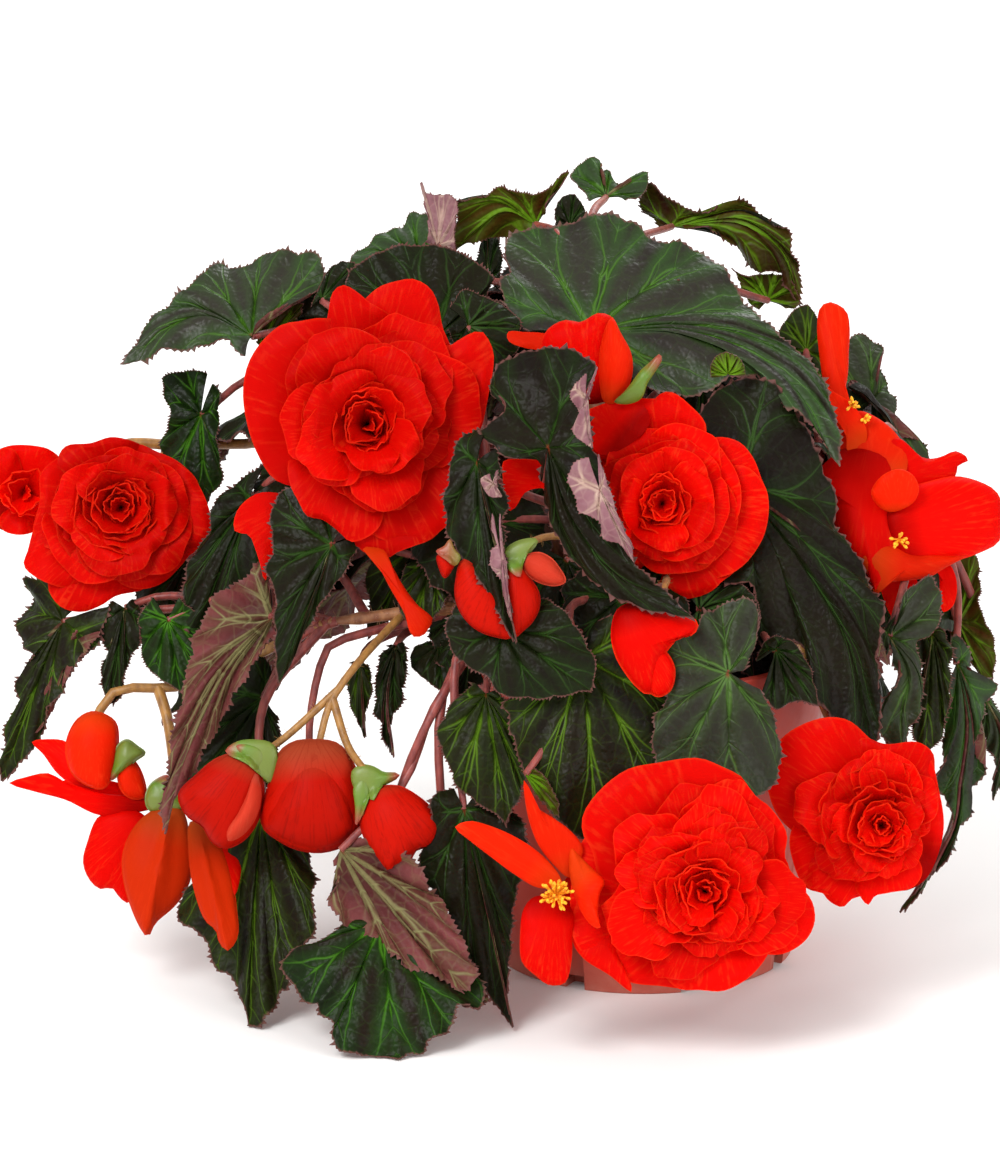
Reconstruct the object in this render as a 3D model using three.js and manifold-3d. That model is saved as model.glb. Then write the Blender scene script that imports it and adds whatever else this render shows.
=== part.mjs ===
// A tuberous begonia in a plastic nursery pot: dark toothed leaves, scarlet double flowers.
// Millimetres, +Z up, origin at the centre of the pot's flat base, the viewer stands at -Y.
import * as THREE from "three";
import { mergeVertices } from "three/addons/utils/BufferGeometryUtils.js";
import Module from "manifold-3d";

const wasm = await Module();
wasm.setup();

// ---- driving dimensions -------------------------------------------------------------------------

const POT_HEIGHT = 110;
const POT_BASE_RADIUS = 50;
const POT_TOP_RADIUS = 65;
const POT_WALL = 1.8;
const POT_FLOOR = 2.4;
const RIM_DEPTH = 12;
const RIM_STAND_OUT = 1.6;
const RIM_EDGE = 0.8;
const DRAIN_NOTCHES = 8;
const DRAIN_NOTCH_WIDTH = 7;
const DRAIN_NOTCH_HEIGHT = 5;
const DRAIN_NOTCH_DEPTH = 6;
const DRAIN_NOTCH_START = THREE.MathUtils.degToRad(-117);
const POT_SIDES = 36;

const SOIL_TOP = 98;
const GAP = 0.3;
const SHORT_EDGE = 0.06;

const TUBER_RADIUS = 21;
const TUBER_HALF_HEIGHT = 9;
const TUBER_CENTRE_Z = 97;

// How far a flower's edge and the tuber's flank wave in and out, as a part of their radius.
const EDGE_WAVE = 0.06;

const BLADE_THICKNESS = 0.9;
const PETAL_THICKNESS = 1.4;
const PETIOLE_RADIUS = 1.6;
const PEDICEL_RADIUS = 1.3;
const STEM_RADIUS_LOW = 4.4;
const STEM_RADIUS_HIGH = 2.9;

// The plant is laid out as a viewer sees it, from in front and above. A place is written
// [across, up, near]: across and up in the picture plane through the pot's base centre, in
// millimetres, and near is how far it stands out of that plane towards the viewer.
const VIEW_HEIGHT_ANGLE = THREE.MathUtils.degToRad(17);
const VIEW_DISTANCE = 3000;
const VIEW_AIM = [-47.3, 120];

const COLOURS = {
  pot: "#a8402e",
  soil: "#2e211a",
  tuber: "#6a4a34",
  stem: "#a0644c",
  leaf: "#26301f",
  petal: "#f01404",
  bud: "#e01c0a",
};

const RIGHT = new THREE.Vector3(1, 0, 0);
const RISE = new THREE.Vector3(0, Math.sin(VIEW_HEIGHT_ANGLE), Math.cos(VIEW_HEIGHT_ANGLE));
const TOWARD = new THREE.Vector3(0, -Math.cos(VIEW_HEIGHT_ANGLE), Math.sin(VIEW_HEIGHT_ANGLE));

// The point seen at [across, up], standing `near` out of the picture plane.
function seen([across, up, near]) {
  const shrink = 1 - near / VIEW_DISTANCE;
  return new THREE.Vector3()
    .addScaledVector(RIGHT, VIEW_AIM[0] + (across - VIEW_AIM[0]) * shrink)
    .addScaledVector(RISE, VIEW_AIM[1] + (up - VIEW_AIM[1]) * shrink)
    .addScaledVector(TOWARD, near);
}

// The same three numbers for a place in the pot's own frame, used where the viewer can't see.
function fromPot(x, y, z) {
  const point = new THREE.Vector3(x, y, z);
  const near = point.dot(TOWARD);
  const shrink = 1 - near / VIEW_DISTANCE;
  const across = VIEW_AIM[0] + (x - VIEW_AIM[0]) / shrink;
  const up = VIEW_AIM[1] + (point.dot(RISE) - VIEW_AIM[1]) / shrink;
  return [across, up, near];
}

// A direction given in the same three axes.
function heading([across, up, near]) {
  return new THREE.Vector3()
    .addScaledVector(RIGHT, across)
    .addScaledVector(RISE, up)
    .addScaledVector(TOWARD, near)
    .normalize();
}

// ---- solids -------------------------------------------------------------------------------------

function toSolid(geometry) {
  const bare = geometry.clone();
  bare.deleteAttribute("normal");
  bare.deleteAttribute("uv");
  const merged = mergeVertices(bare, 1e-4);
  return new wasm.Manifold(
    new wasm.Mesh({
      numProp: 3,
      vertProperties: merged.attributes.position.array,
      triVerts: new Uint32Array(merged.index.array),
    }),
  );
}

function toGeometry(solid) {
  const mesh = solid.getMesh();
  const geometry = new THREE.BufferGeometry();
  geometry.setAttribute("position", new THREE.BufferAttribute(mesh.vertProperties, 3));
  geometry.setIndex(new THREE.BufferAttribute(mesh.triVerts, 1));
  geometry.computeVertexNormals();
  return geometry;
}

function boxesMeet(a, b) {
  const one = a.boundingBox();
  const two = b.boundingBox();
  return [0, 1, 2].every((i) => one.min[i] < two.max[i] && two.min[i] < one.max[i]);
}

// The solid with every cutter taken away, and only its largest piece kept.
function trimmed(solid, cutters) {
  let left = solid;
  for (const cutter of cutters) {
    if (boxesMeet(left, cutter)) left = left.subtract(cutter);
  }
  return left === solid ? solid : largestPiece(left);
}

function largestPiece(solid) {
  const pieces = solid.simplify(SHORT_EDGE).decompose();
  return pieces.reduce((best, piece) => (piece.volume() > best.volume() ? piece : best));
}

// Moves every vertex of a geometry to the place that `to` gives for its own x, y and z.
function reshape(geometry, to) {
  const position = geometry.attributes.position;
  for (let i = 0; i < position.count; i += 1) {
    const place = to(position.getX(i), position.getY(i), position.getZ(i));
    position.setXYZ(i, place.x, place.y, place.z);
  }
  return geometry;
}

// A round limb along a curve, its radius running from `low` to `high`, with flat closed ends.
// `extra` makes it that much thicker and longer all round, for cutting its neighbours back.
function limb(curve, low, high, sides, steps, extra) {
  const frames = curve.computeFrenetFrames(steps);
  const tube = new THREE.CylinderGeometry(1, 1, 1, sides, steps);
  return toSolid(
    reshape(tube, (x, y, z) => {
      const step = Math.round((y + 0.5) * steps);
      const radius = THREE.MathUtils.lerp(low, high, step / steps) + extra;
      return curve
        .getPointAt(step / steps)
        .addScaledVector(frames.tangents[step], Math.trunc(2 * y) * extra)
        .addScaledVector(frames.binormals[step], x * radius)
        .addScaledVector(frames.normals[step], z * radius);
    }),
  );
}

// Three axes for a piece that faces one way and hangs or points another.
function axesOf(faces, points) {
  const out = heading(faces);
  const along = heading(points);
  along.addScaledVector(out, -along.dot(out)).normalize();
  return { out, along, side: along.clone().cross(out) };
}

// A round body: a sphere with its own width, length and depth, its back drawn in, and `lobes`
// waves round its edge. The length runs along `points`, the depth along `faces`.
function roundBody({ centre, faces, points, width, length, depth, lobes = 0, taper = 0 }, extra) {
  const { out, along, side } = axesOf(faces, points);
  const middle = seen(centre);
  const ball = new THREE.SphereGeometry(1, 12, 6);
  return toSolid(
    reshape(ball, (x, y, z) => {
      const angle = Math.atan2(z, x);
      const wave = lobes > 0 ? 1 + EDGE_WAVE * Math.cos(lobes * angle) : 1;
      const narrow = 1 - taper * Math.max(0, -y);
      return middle
        .clone()
        .addScaledVector(side, x * (width / 2 + extra) * wave * narrow)
        .addScaledVector(along, -z * (length / 2 + extra) * wave * narrow)
        .addScaledVector(out, y * (depth / 2 + extra));
    }),
  );
}

// Width of a heart-shaped blade, 1 at its widest, from the lobes at 0 to the tip at 1. The widest
// place lies a third of the way along, and the fullness rounds the sides.
function bladeWidth(q) {
  const widestEarly = 0.62;
  const fullness = 0.75;
  const tipWidth = 0.07;
  return Math.max(Math.sin(Math.PI * q ** widestEarly) ** fullness, tipWidth);
}

// Width of a petal, from its narrow claw at 0 to its round end at 1.
function petalWidth(q) {
  const clawWidth = 0.55;
  const round = Math.sqrt(Math.sin(Math.PI * THREE.MathUtils.lerp(0.08, 0.92, q)));
  return round * THREE.MathUtils.lerp(clawWidth, 1, q);
}

const BLADE = { widthAt: bladeWidth, thickness: BLADE_THICKNESS, cells: [4, 5] };
const PETAL = { widthAt: petalWidth, thickness: PETAL_THICKNESS, cells: [2, 3] };

// A thin sheet about a midrib that runs hub, bend, tip. `halves` are its two half widths, `lobes`
// the part of its length that lies behind the hub, `curl` the turn of each half, in radians.
function sheet(row, extra, { widthAt, thickness, cells } = BLADE) {
  const { hub, tip, faces, halves, lobes = 0, curl = 0, arch = 0.08 } = row;
  const root = seen(hub);
  const end = seen(tip);
  const length = root.distanceTo(end);
  const front = heading(faces);
  const middle = root.clone().lerp(end, 0.5).addScaledVector(front, arch * length);
  const midrib = new THREE.QuadraticBezierCurve3(root, middle, end);
  const hubAt = lobes / (1 + lobes);
  const grid = new THREE.BoxGeometry(1, 1, 1, ...cells, 1);
  return toSolid(
    reshape(grid, (x, y, z) => {
      const q = y + 0.5;
      const s = (q - hubAt) * (1 + lobes);
      const tangent = midrib.getTangent(Math.max(s, 0));
      const spot = midrib.getPoint(Math.max(s, 0));
      spot.addScaledVector(tangent, Math.min(s, 0) * length + Math.trunc(2 * y) * extra);
      const side = tangent.clone().cross(front).normalize();
      const up = side.clone().cross(tangent);
      const half = x > 0 ? halves[0] : halves[1];
      const reach = Math.abs(x * 2) * (half * widthAt(q) + extra);
      const turn = (curl * Math.abs(x * 2) * widthAt(q)) / 2;
      return spot
        .addScaledVector(side, Math.sign(x) * reach * Math.cos(turn))
        .addScaledVector(up, reach * Math.sin(turn) + z * (thickness + 2 * extra));
    }),
  );
}

// ---- pot, soil and tuber ------------------------------------------------------------------------

function wallRadius(z) {
  return THREE.MathUtils.lerp(POT_BASE_RADIUS, POT_TOP_RADIUS - RIM_STAND_OUT, z / POT_HEIGHT);
}

function lathe(profile, sides) {
  const points = profile.map(([radius, z]) => new THREE.Vector2(radius, z));
  const geometry = new THREE.LatheGeometry(points, sides);
  return toSolid(geometry.rotateX(Math.PI / 2));
}

function potSolid() {
  const rimLow = POT_HEIGHT - RIM_DEPTH;
  const shell = lathe(
    [
      [0, 0],
      [POT_BASE_RADIUS, 0],
      [wallRadius(rimLow), rimLow],
      [wallRadius(rimLow) + RIM_STAND_OUT, rimLow + RIM_EDGE],
      [POT_TOP_RADIUS, POT_HEIGHT - RIM_EDGE],
      [POT_TOP_RADIUS - RIM_EDGE, POT_HEIGHT],
      [wallRadius(POT_HEIGHT) - POT_WALL, POT_HEIGHT],
      [wallRadius(POT_FLOOR) - POT_WALL, POT_FLOOR],
      [0, POT_FLOOR],
    ],
    POT_SIDES,
  );
  const notches = [];
  for (let i = 0; i < DRAIN_NOTCHES; i += 1) {
    const notch = new THREE.BoxGeometry(DRAIN_NOTCH_DEPTH * 2, DRAIN_NOTCH_WIDTH, DRAIN_NOTCH_HEIGHT * 2);
    notch.translate(POT_BASE_RADIUS, 0, 0);
    notch.rotateZ(DRAIN_NOTCH_START + (i * 2 * Math.PI) / DRAIN_NOTCHES);
    notches.push(toSolid(notch));
  }
  return trimmed(shell, notches);
}

function soilSolid() {
  const low = POT_FLOOR + GAP;
  const soil = lathe(
    [
      [0, low],
      [wallRadius(low) - POT_WALL - GAP, low],
      [wallRadius(SOIL_TOP) - POT_WALL - GAP, SOIL_TOP],
      [0, SOIL_TOP],
    ],
    POT_SIDES,
  );
  return trimmed(soil, [tuberSolid(GAP)]);
}

function tuberSolid(extra) {
  const ball = new THREE.SphereGeometry(1, 14, 6).rotateX(Math.PI / 2);
  return toSolid(
    reshape(ball, (x, y, z) => {
      const wide = (TUBER_RADIUS + extra) * (1 + EDGE_WAVE * Math.cos(3 * Math.atan2(y, x)));
      return new THREE.Vector3(x * wide, y * wide, TUBER_CENTRE_Z + z * (TUBER_HALF_HEIGHT + extra));
    }),
  );
}

// ---- stems: they sprout from the tuber, and their points are in the pot's own frame --------------

const STEMS = {
  stem_left: [[-8, -4, 98], [-32, -12, 119], [-62, -20, 124], [-86, -24, 122], [-107, -26, 120]],
  stem_upper_left: [[-7, 5, 98], [-26, 2, 132], [-50, -6, 162], [-76, -12, 186], [-92, -14, 192]],
  stem_top: [[2, 8, 99], [-6, 10, 140], [-16, 16, 185], [-22, 36, 222]],
  stem_right: [[9, 2, 98], [36, 4, 127], [62, 12, 150], [84, 18, 166]],
  stem_front: [[3, -9, 98], [7, -16, 120], [6, -20, 142], [2, -22, 160]],
  stem_back: [[-3, 11, 98], [-10, 36, 128], [-18, 62, 150], [-24, 84, 166]],
};

// ---- leaves -------------------------------------------------------------------------------------
// on: the carrier and how far along it the leaf stalk starts. via: where the stalk passes.

const LEAVES = {
  leaf_upper_left: {
    on: ["stem_upper_left", 0.82], via: [[-112, 205, 20]],
    hub: [-129, 202, 30], tip: [-172, 193, 26], halves: [28, 13], faces: [-0.1, 0.55, 0.8], lobes: 0.45,
  },
  leaf_grey_back: {
    on: ["stem_upper_left", 0.7], via: [[-66, 215, -6]],
    hub: [-74, 230, -8], tip: [-99, 224, -12], halves: [12, 14], faces: [-0.2, 0.8, 0.5], lobes: 0.3,
  },
  leaf_skyline: {
    on: ["stem_top", 0.95],
    hub: [-56, 232, 14], tip: [-25, 256, 2], halves: [14, 11], faces: [0, 0.4, -0.9], lobes: 0.25,
  },
  leaf_behind_great_flower: {
    on: ["stem_upper_left", 0.62], via: [[-56, 190, 30]],
    hub: [-66, 200, 42], tip: [-92, 226, 30], halves: [17, 22], faces: [-0.1, 0.4, 0.9], lobes: 0.35,
  },
  leaf_top_twist: {
    on: ["stem_top", 0.98],
    hub: [-4, 249, -14], tip: [-25, 262, -20], halves: [7, 8], faces: [0.1, 0.8, 0.6], lobes: 0.3,
  },
  leaf_top_right: {
    on: ["stem_top", 0.9],
    hub: [4, 250, -26], tip: [52, 212, -28], halves: [9, 9], faces: [0.4, 0.7, -0.5], arch: 0.4, lobes: 0.1,
  },
  leaf_broad_top: {
    on: ["stem_top", 0.8], via: [[-18, 206, 34]],
    hub: [-18, 208, 46], tip: [65, 161, 74], halves: [26, 38], faces: [0.05, 0.5, 0.85], lobes: 0.34,
    curl: -0.3, arch: 0.12,
  },
  leaf_centre_folded: {
    on: ["stem_front", 0.96], via: [[-30, 150, 84]],
    hub: [-32, 165, 108], tip: [17, 109, 124], halves: [16, 17], faces: [-0.25, 0.15, 1], lobes: 0.42,
    curl: 0.5,
  },
  leaf_pendant_right: {
    on: ["stem_right", 0.55], via: [[40, 152, 50]],
    hub: [43, 146, 68], tip: [81, 66, 84], halves: [23, 21], faces: [0.15, 0.2, 1], lobes: 0.42, curl: -0.2,
  },
  leaf_lobed_front: {
    on: ["stem_right", 0.3], via: [[32, 104, 78], [31, 98, 94]],
    hub: [28, 91, 106], tip: [42, 50, 110], halves: [22, 17], faces: [0.1, 0.15, 1], lobes: 0.5,
  },
  leaf_heart_front: {
    on: ["stem_front", 0.45], via: [[-24, 112, 90]],
    hub: [-20, 95, 101], tip: [-13, 38, 106], halves: [24, 25], faces: [0, 0.15, 1], lobes: 0.3,
  },
  leaf_under_bud: {
    on: ["stem_front", 0.35], via: [[-36, 108, 84]],
    hub: [-46, 103, 106], tip: [-24, 80, 112], halves: [16, 15], faces: [-0.15, 0.2, 1], lobes: 0.7,
  },
  leaf_front_left: {
    on: ["stem_left", 0.3], via: [[-50, 96, 84]],
    hub: [-52, 83, 93], tip: [-44, 43, 98], halves: [14, 15], faces: [-0.1, 0.1, 1], lobes: 0.2,
  },
  leaf_long_pendant: {
    on: ["stem_left", 0.38], via: [[-61, 98, 86], [-62, 70, 90]],
    hub: [-59, 45, 92], tip: [-43, -26, 88], halves: [16, 15], faces: [0, 0.1, 1], lobes: 0.14,
  },
  leaf_purple_low: {
    on: ["stem_left", 0.9], via: [[-106, 72, 74]],
    hub: [-102, 33, 84], tip: [-57, -13, 98], halves: [14, 16], faces: [0.2, -0.1, -1], lobes: 0.05,
  },
  leaf_table: {
    on: ["stem_left", 0.42], via: [[-66, 84, 86], [-81, 50, 84]],
    hub: [-84, 0, 94], tip: [-90, -38, 112], halves: [25, 27], faces: [0, 0.5, 0.9], lobes: 0.2,
  },
  leaf_low_left: {
    on: ["stem_left", 0.97], via: [[-126, 80, 56]],
    hub: [-119, 30, 74], tip: [-129, -29, 89], halves: [22, 20], faces: [-0.1, 0.1, 1], lobes: 0.2,
  },
  leaf_purple_left: {
    on: ["stem_left", 1], via: [[-122, 122, 54]],
    hub: [-129, 120, 66], tip: [-157, 45, 70], halves: [16, 16], faces: [0.2, 0, -1], lobes: 0.08,
  },
  leaf_below_great_flower: {
    on: ["stem_upper_left", 0.4], via: [[-100, 150, 60]],
    hub: [-116, 148, 78], tip: [-121, 88, 86], halves: [14, 13], faces: [-0.1, 0.1, 1], lobes: 0.25,
  },
  leaf_dark_left: {
    on: ["stem_upper_left", 0.5], via: [[-112, 158, 20]],
    hub: [-136, 149, 34], tip: [-142, 114, 40], halves: [15, 14], faces: [-0.2, 0.2, 1], lobes: 0.3,
  },
  leaf_dark_hub_left: {
    on: ["stem_left", 0.94],
    hub: [-127, 81, 50], tip: [-147, 60, 54], halves: [18, 16], faces: [-0.15, 0.2, 1], lobes: 0.5,
  },
  leaf_far_left: {
    on: ["stem_left", 0.99], via: [[-150, 112, 30]],
    hub: [-186, 115, 22], tip: [-213, 57, 26], halves: [15, 9], faces: [-0.5, 0.1, 0.8], lobes: 0.1,
  },
  leaf_left_middle: {
    on: ["stem_left", 0.96], via: [[-138, 116, 34]],
    hub: [-158, 112, 34], tip: [-160, 84, 40], halves: [12, 11], faces: [-0.2, 0.2, 1], lobes: 0.3,
  },
  leaf_left_small: {
    on: ["stem_upper_left", 0.9], via: [[-128, 190, 4]],
    hub: [-146, 186, 10], tip: [-140, 153, 14], halves: [9, 9], faces: [-0.2, 0.2, 1], lobes: 0.15,
  },
  leaf_right_grey: {
    on: ["stem_right", 0.85], via: [[88, 132, 40]],
    hub: [92, 116, 58], tip: [85, 68, 64], halves: [9, 10], faces: [0.2, 0.1, 1], lobes: 0.12,
  },
  leaf_right_falling: {
    on: ["stem_right", 0.97], via: [[104, 124, 16]],
    hub: [107, 98, 24], tip: [89, 12, 44], halves: [10, 12], faces: [0.4, 0.1, 0.9], lobes: 0.05,
  },
  leaf_right_olive: {
    on: ["stem_right", 0.99],
    hub: [102, 130, 0], tip: [114, 86, 4], halves: [9, 9], faces: [0.3, 0, -0.9], lobes: 0.1,
  },
  leaf_right_upper: {
    on: ["stem_right", 0.75], via: [[60, 170, -6]],
    hub: [72, 186, 0], tip: [84, 160, 6], halves: [14, 13], faces: [0.3, 0.5, 0.8], lobes: 0.6,
  },
  leaf_dark_beside_flower: {
    on: ["stem_front", 0.8], via: [[-44, 152, 84]],
    hub: [-52, 160, 104], tip: [-43, 101, 124], halves: [11, 9], faces: [-0.3, 0.1, 1], lobes: 0.2,
  },
  leaf_back_left: {
    on: ["stem_back", 0.5], via: [fromPot(-44, 48, 158)],
    hub: fromPot(-70, 52, 158), tip: fromPot(-112, 88, 78), halves: [34, 32], faces: [-0.6, 0.4, -0.8],
    lobes: 0.4,
  },
  leaf_back_middle: {
    on: ["stem_back", 0.98], via: [fromPot(-18, 76, 176)],
    hub: fromPot(-14, 84, 170), tip: fromPot(-28, 114, 88), halves: [36, 34], faces: [-0.1, 0.4, -1],
    lobes: 0.4,
  },
  leaf_back_right: {
    on: ["stem_back", 0.6], via: [fromPot(26, 56, 156)],
    hub: fromPot(48, 60, 152), tip: fromPot(84, 90, 74), halves: [32, 34], faces: [0.5, 0.4, -0.8],
    lobes: 0.4,
  },
  leaf_back_low: {
    on: ["stem_back", 0.3], via: [fromPot(6, 62, 126)],
    hub: fromPot(10, 82, 116), tip: fromPot(20, 104, 42), halves: [26, 26], faces: [0.2, 0.2, -1],
    lobes: 0.35,
  },
  leaf_back_top: {
    on: ["stem_top", 0.7], via: [fromPot(-4, 28, 208)],
    hub: fromPot(2, 44, 214), tip: fromPot(26, 104, 168), halves: [29, 30], faces: [0.1, 0.7, -0.6],
    lobes: 0.35,
  },
};

// ---- flowers and buds ---------------------------------------------------------------------------
// centre, width, length and depth of the head; faces is where it opens, points where it hangs.

const DOUBLE = { points: [0, -1, 0], lobes: 5, taper: 0.35 };

const FLOWERS = {
  flower_great: {
    ...DOUBLE, on: ["stem_upper_left", 0.98], centre: [-91, 175, 84], faces: [-0.05, 0.1, 1],
    width: 82, length: 92, depth: 36,
  },
  flower_far_left: {
    ...DOUBLE, on: ["stem_upper_left", 0.88], via: [[-129, 167, 8], [-158, 164, 0]],
    centre: [-175, 141, 30], faces: [-0.2, 0.1, 1], width: 62, length: 56, depth: 28,
  },
  flower_left_rear: {
    ...DOUBLE, on: ["flower_far_left", 0.72], centre: [-203, 152, 2], faces: [-0.7, 0.1, 0.6],
    width: 32, length: 33, depth: 18,
  },
  flower_centre: {
    ...DOUBLE, on: ["stem_front", 0.98], centre: [8, 149, 84], faces: [0.05, 0.05, 1],
    width: 60, length: 68, depth: 28,
  },
  flower_right: {
    ...DOUBLE, on: ["stem_right", 0.9], centre: [88, 150, 36], faces: [0.7, 0.2, 0.7],
    width: 60, length: 62, depth: 34,
  },
  flower_low: {
    ...DOUBLE, on: ["stem_front", 0.55], via: [[16, 96, 92], [16, 66, 94], [17, 40, 98]],
    centre: [18, 22, 126], faces: [0.05, 0.1, 1], width: 78, length: 76, depth: 26,
  },
  flower_low_right: {
    ...DOUBLE, on: ["stem_right", 0.5], via: [[52, 100, 72], [66, 66, 70]],
    centre: [73, 43, 92], faces: [0.2, 0, 1], width: 56, length: 60, depth: 26,
  },
  flower_top: {
    ...DOUBLE, on: ["stem_top", 0.72], via: [[-22, 192, 40]],
    centre: [-23, 196, 78], faces: [-0.1, 0.4, 0.9], width: 34, length: 32, depth: 20,
  },
  flower_back: {
    ...DOUBLE, on: ["stem_back", 0.85], via: [fromPot(-50, 84, 172)],
    centre: fromPot(-80, 96, 160), faces: [-0.5, 0.4, -0.8], width: 56, length: 56, depth: 26,
  },
  flower_pendant_left: {
    ...DOUBLE, on: ["stem_left", 0.98], via: [[-154, 86, 30], [-176, 84, 32]],
    centre: [-186, 60, 40], faces: [-0.3, -0.5, 0.8], width: 50, length: 24, depth: 18,
  },
  flower_hanging: {
    ...DOUBLE, on: ["flower_pendant_left", 0.7], centre: [-160, 27, 46], faces: [-0.1, -0.3, 1],
    width: 50, length: 44, depth: 22, lobes: 0, taper: 0,
  },
};

const SINGLE_FLOWER = {
  on: ["flower_low", 0.8], via: [[-14, 28, 108]], centre: [-28, 17, 122], faces: [-0.1, 0.15, 1],
  petals: [
    { tip: [-60, 38, 128], halves: [7, 8] },
    { tip: [-38, 54, 128], halves: [8, 8] },
    { tip: [-12, 30, 124], halves: [6, 6] },
    { tip: [-32, -13, 130], halves: [8, 9] },
    { tip: [-5, -13, 114], halves: [8, 8] },
  ],
};

const HANGS = { faces: [0, 0.1, 1] };

const BUDS = {
  bud_middle: {
    ...HANGS, on: ["stem_left", 0.74], via: [[-96, 92, 74], [-104, 80, 78], [-108, 66, 82]],
    centre: [-111, 49, 84], points: [-0.1, -1, 0.1], width: 32, length: 37, depth: 22,
  },
  bud_left: {
    ...HANGS, on: ["bud_middle", 0.62], via: [[-120, 68, 78]],
    centre: [-141, 49, 84], points: [-0.5, -1, 0.2], width: 24, length: 36, depth: 17, calyx: [-129, 62, 81],
  },
  bud_right: {
    ...HANGS, on: ["bud_middle", 0.68], via: [[-98, 66, 84]],
    centre: [-80, 37, 92], points: [0.45, -1, 0.2], width: 23, length: 31, depth: 16, calyx: [-90, 50, 90],
  },
  bud_centre: {
    ...HANGS, on: ["stem_front", 0.7], via: [[-30, 136, 96]],
    centre: [-48, 115, 112], points: [-0.2, -1, 0.1], width: 27, length: 29, depth: 12, calyx: [-41, 129, 106],
  },
  bud_low: {
    ...HANGS, on: ["stem_front", 0.62], via: [[6, 118, 100]],
    centre: [3, 99, 113], points: [0.1, -1, 0], width: 27, length: 31, depth: 12,
  },
};

// ---- assembly -----------------------------------------------------------------------------------

const carriers = {};

function carrierPoint([name, along]) {
  return carriers[name].getPointAt(along);
}

// The curve of a stalk, from the middle of what carries it to where the leaf or head sits.
function stalkCurve({ on, via }, end) {
  const start = carrierPoint(on);
  const between = via ? via.map(seen) : [start.clone().lerp(end, 0.5).add(new THREE.Vector3(0, 0, 8))];
  return new THREE.CatmullRomCurve3([start, ...between, end], false, "centripetal");
}

function stalkPiece(row, end, radius) {
  const curve = stalkCurve(row, end);
  const steps = row.via && row.via.length > 1 ? 7 : 5;
  return { curve, shape: (extra) => limb(curve, radius * 1.2, radius, 5, steps, extra) };
}

// Where a leaf stalk ends: just inside the blade at its hub.
function leafPiece(name, row) {
  const end = seen(row.hub).addScaledVector(heading(row.faces), 0.2);
  const stalk = stalkPiece(row, end, PETIOLE_RADIUS);
  return { name, colour: COLOURS.leaf, roughness: 0.55, stalk, shape: (extra) => sheet(row, extra) };
}

function headEnd(row) {
  const back = -0.3 * (row.depth ?? 10);
  return seen(row.centre).addScaledVector(heading(row.faces), back);
}

function flowerPiece(name, row) {
  const stalk = stalkPiece(row, headEnd(row), PEDICEL_RADIUS * 1.2);
  return { name, colour: COLOURS.petal, roughness: 0.6, stalk, shape: (extra) => roundBody(row, extra) };
}

function singleFlowerPiece(row) {
  const stalk = stalkPiece(row, headEnd(row), PEDICEL_RADIUS);
  const disc = { ...row, points: [0, -1, 0], width: 11, length: 11, depth: 8 };
  const shape = (extra) =>
    row.petals.reduce((flower, petal) => {
      const placed = { ...petal, hub: row.centre, faces: row.faces };
      return flower.add(sheet(placed, extra, PETAL));
    }, roundBody(disc, extra));
  return { name: "flower_single", colour: COLOURS.petal, roughness: 0.6, stalk, shape };
}

// A bud hangs by its narrow end: the stalk, the green calyx where it shows, then the closed petals.
function budPiece(name, row) {
  const neck = seen(row.centre).addScaledVector(heading(row.points), -0.38 * row.length);
  const top = row.calyx ? seen(row.calyx) : neck;
  const stalk = stalkPiece(row, top, PEDICEL_RADIUS);
  const shape = (extra) => {
    const body = roundBody(row, extra);
    if (!row.calyx) return body;
    const calyx = { ...row, centre: row.calyx, width: 12, length: 15, depth: 10 };
    return body.add(roundBody(calyx, extra));
  };
  return { name, colour: COLOURS.bud, roughness: 0.5, stalk, shape };
}

function stemPiece(name) {
  const points = STEMS[name].map(([x, y, z]) => new THREE.Vector3(x, y, z));
  const curve = new THREE.CatmullRomCurve3(points, false, "centripetal");
  carriers[name] = curve;
  const shape = (extra) => limb(curve, STEM_RADIUS_LOW, STEM_RADIUS_HIGH, 7, 8, extra);
  return { name, colour: COLOURS.stem, roughness: 0.6, shape };
}

const group = new THREE.Group();

function addMesh(name, solid, colour, roughness) {
  const material = new THREE.MeshStandardMaterial({ color: colour, roughness, metalness: 0 });
  const mesh = new THREE.Mesh(toGeometry(solid), material);
  mesh.name = name;
  group.add(mesh);
}

const pot = potSolid();
const soil = soilSolid();
addMesh("pot", pot, COLOURS.pot, 0.6);
addMesh("soil", soil, COLOURS.soil, 0.95);
addMesh("tuber", tuberSolid(0), COLOURS.tuber, 0.9);

// What nothing else may touch, each grown by the gap.
const settled = [pot, soil, tuberSolid(GAP)];
for (const name of Object.keys(STEMS)) {
  const stem = stemPiece(name);
  addMesh(name, trimmed(stem.shape(0), settled), stem.colour, stem.roughness);
  settled.push(stem.shape(GAP));
}

const plantPieces = [];
for (const [name, row] of Object.entries(BUDS)) {
  const piece = budPiece(name, row);
  carriers[name] = piece.stalk.curve;
  plantPieces.push(piece);
}
for (const [name, row] of Object.entries(FLOWERS)) {
  const piece = flowerPiece(name, row);
  carriers[name] = piece.stalk.curve;
  plantPieces.push(piece);
}
plantPieces.push(singleFlowerPiece(SINGLE_FLOWER));
for (const [name, row] of Object.entries(LEAVES)) plantPieces.push(leafPiece(name, row));

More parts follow.
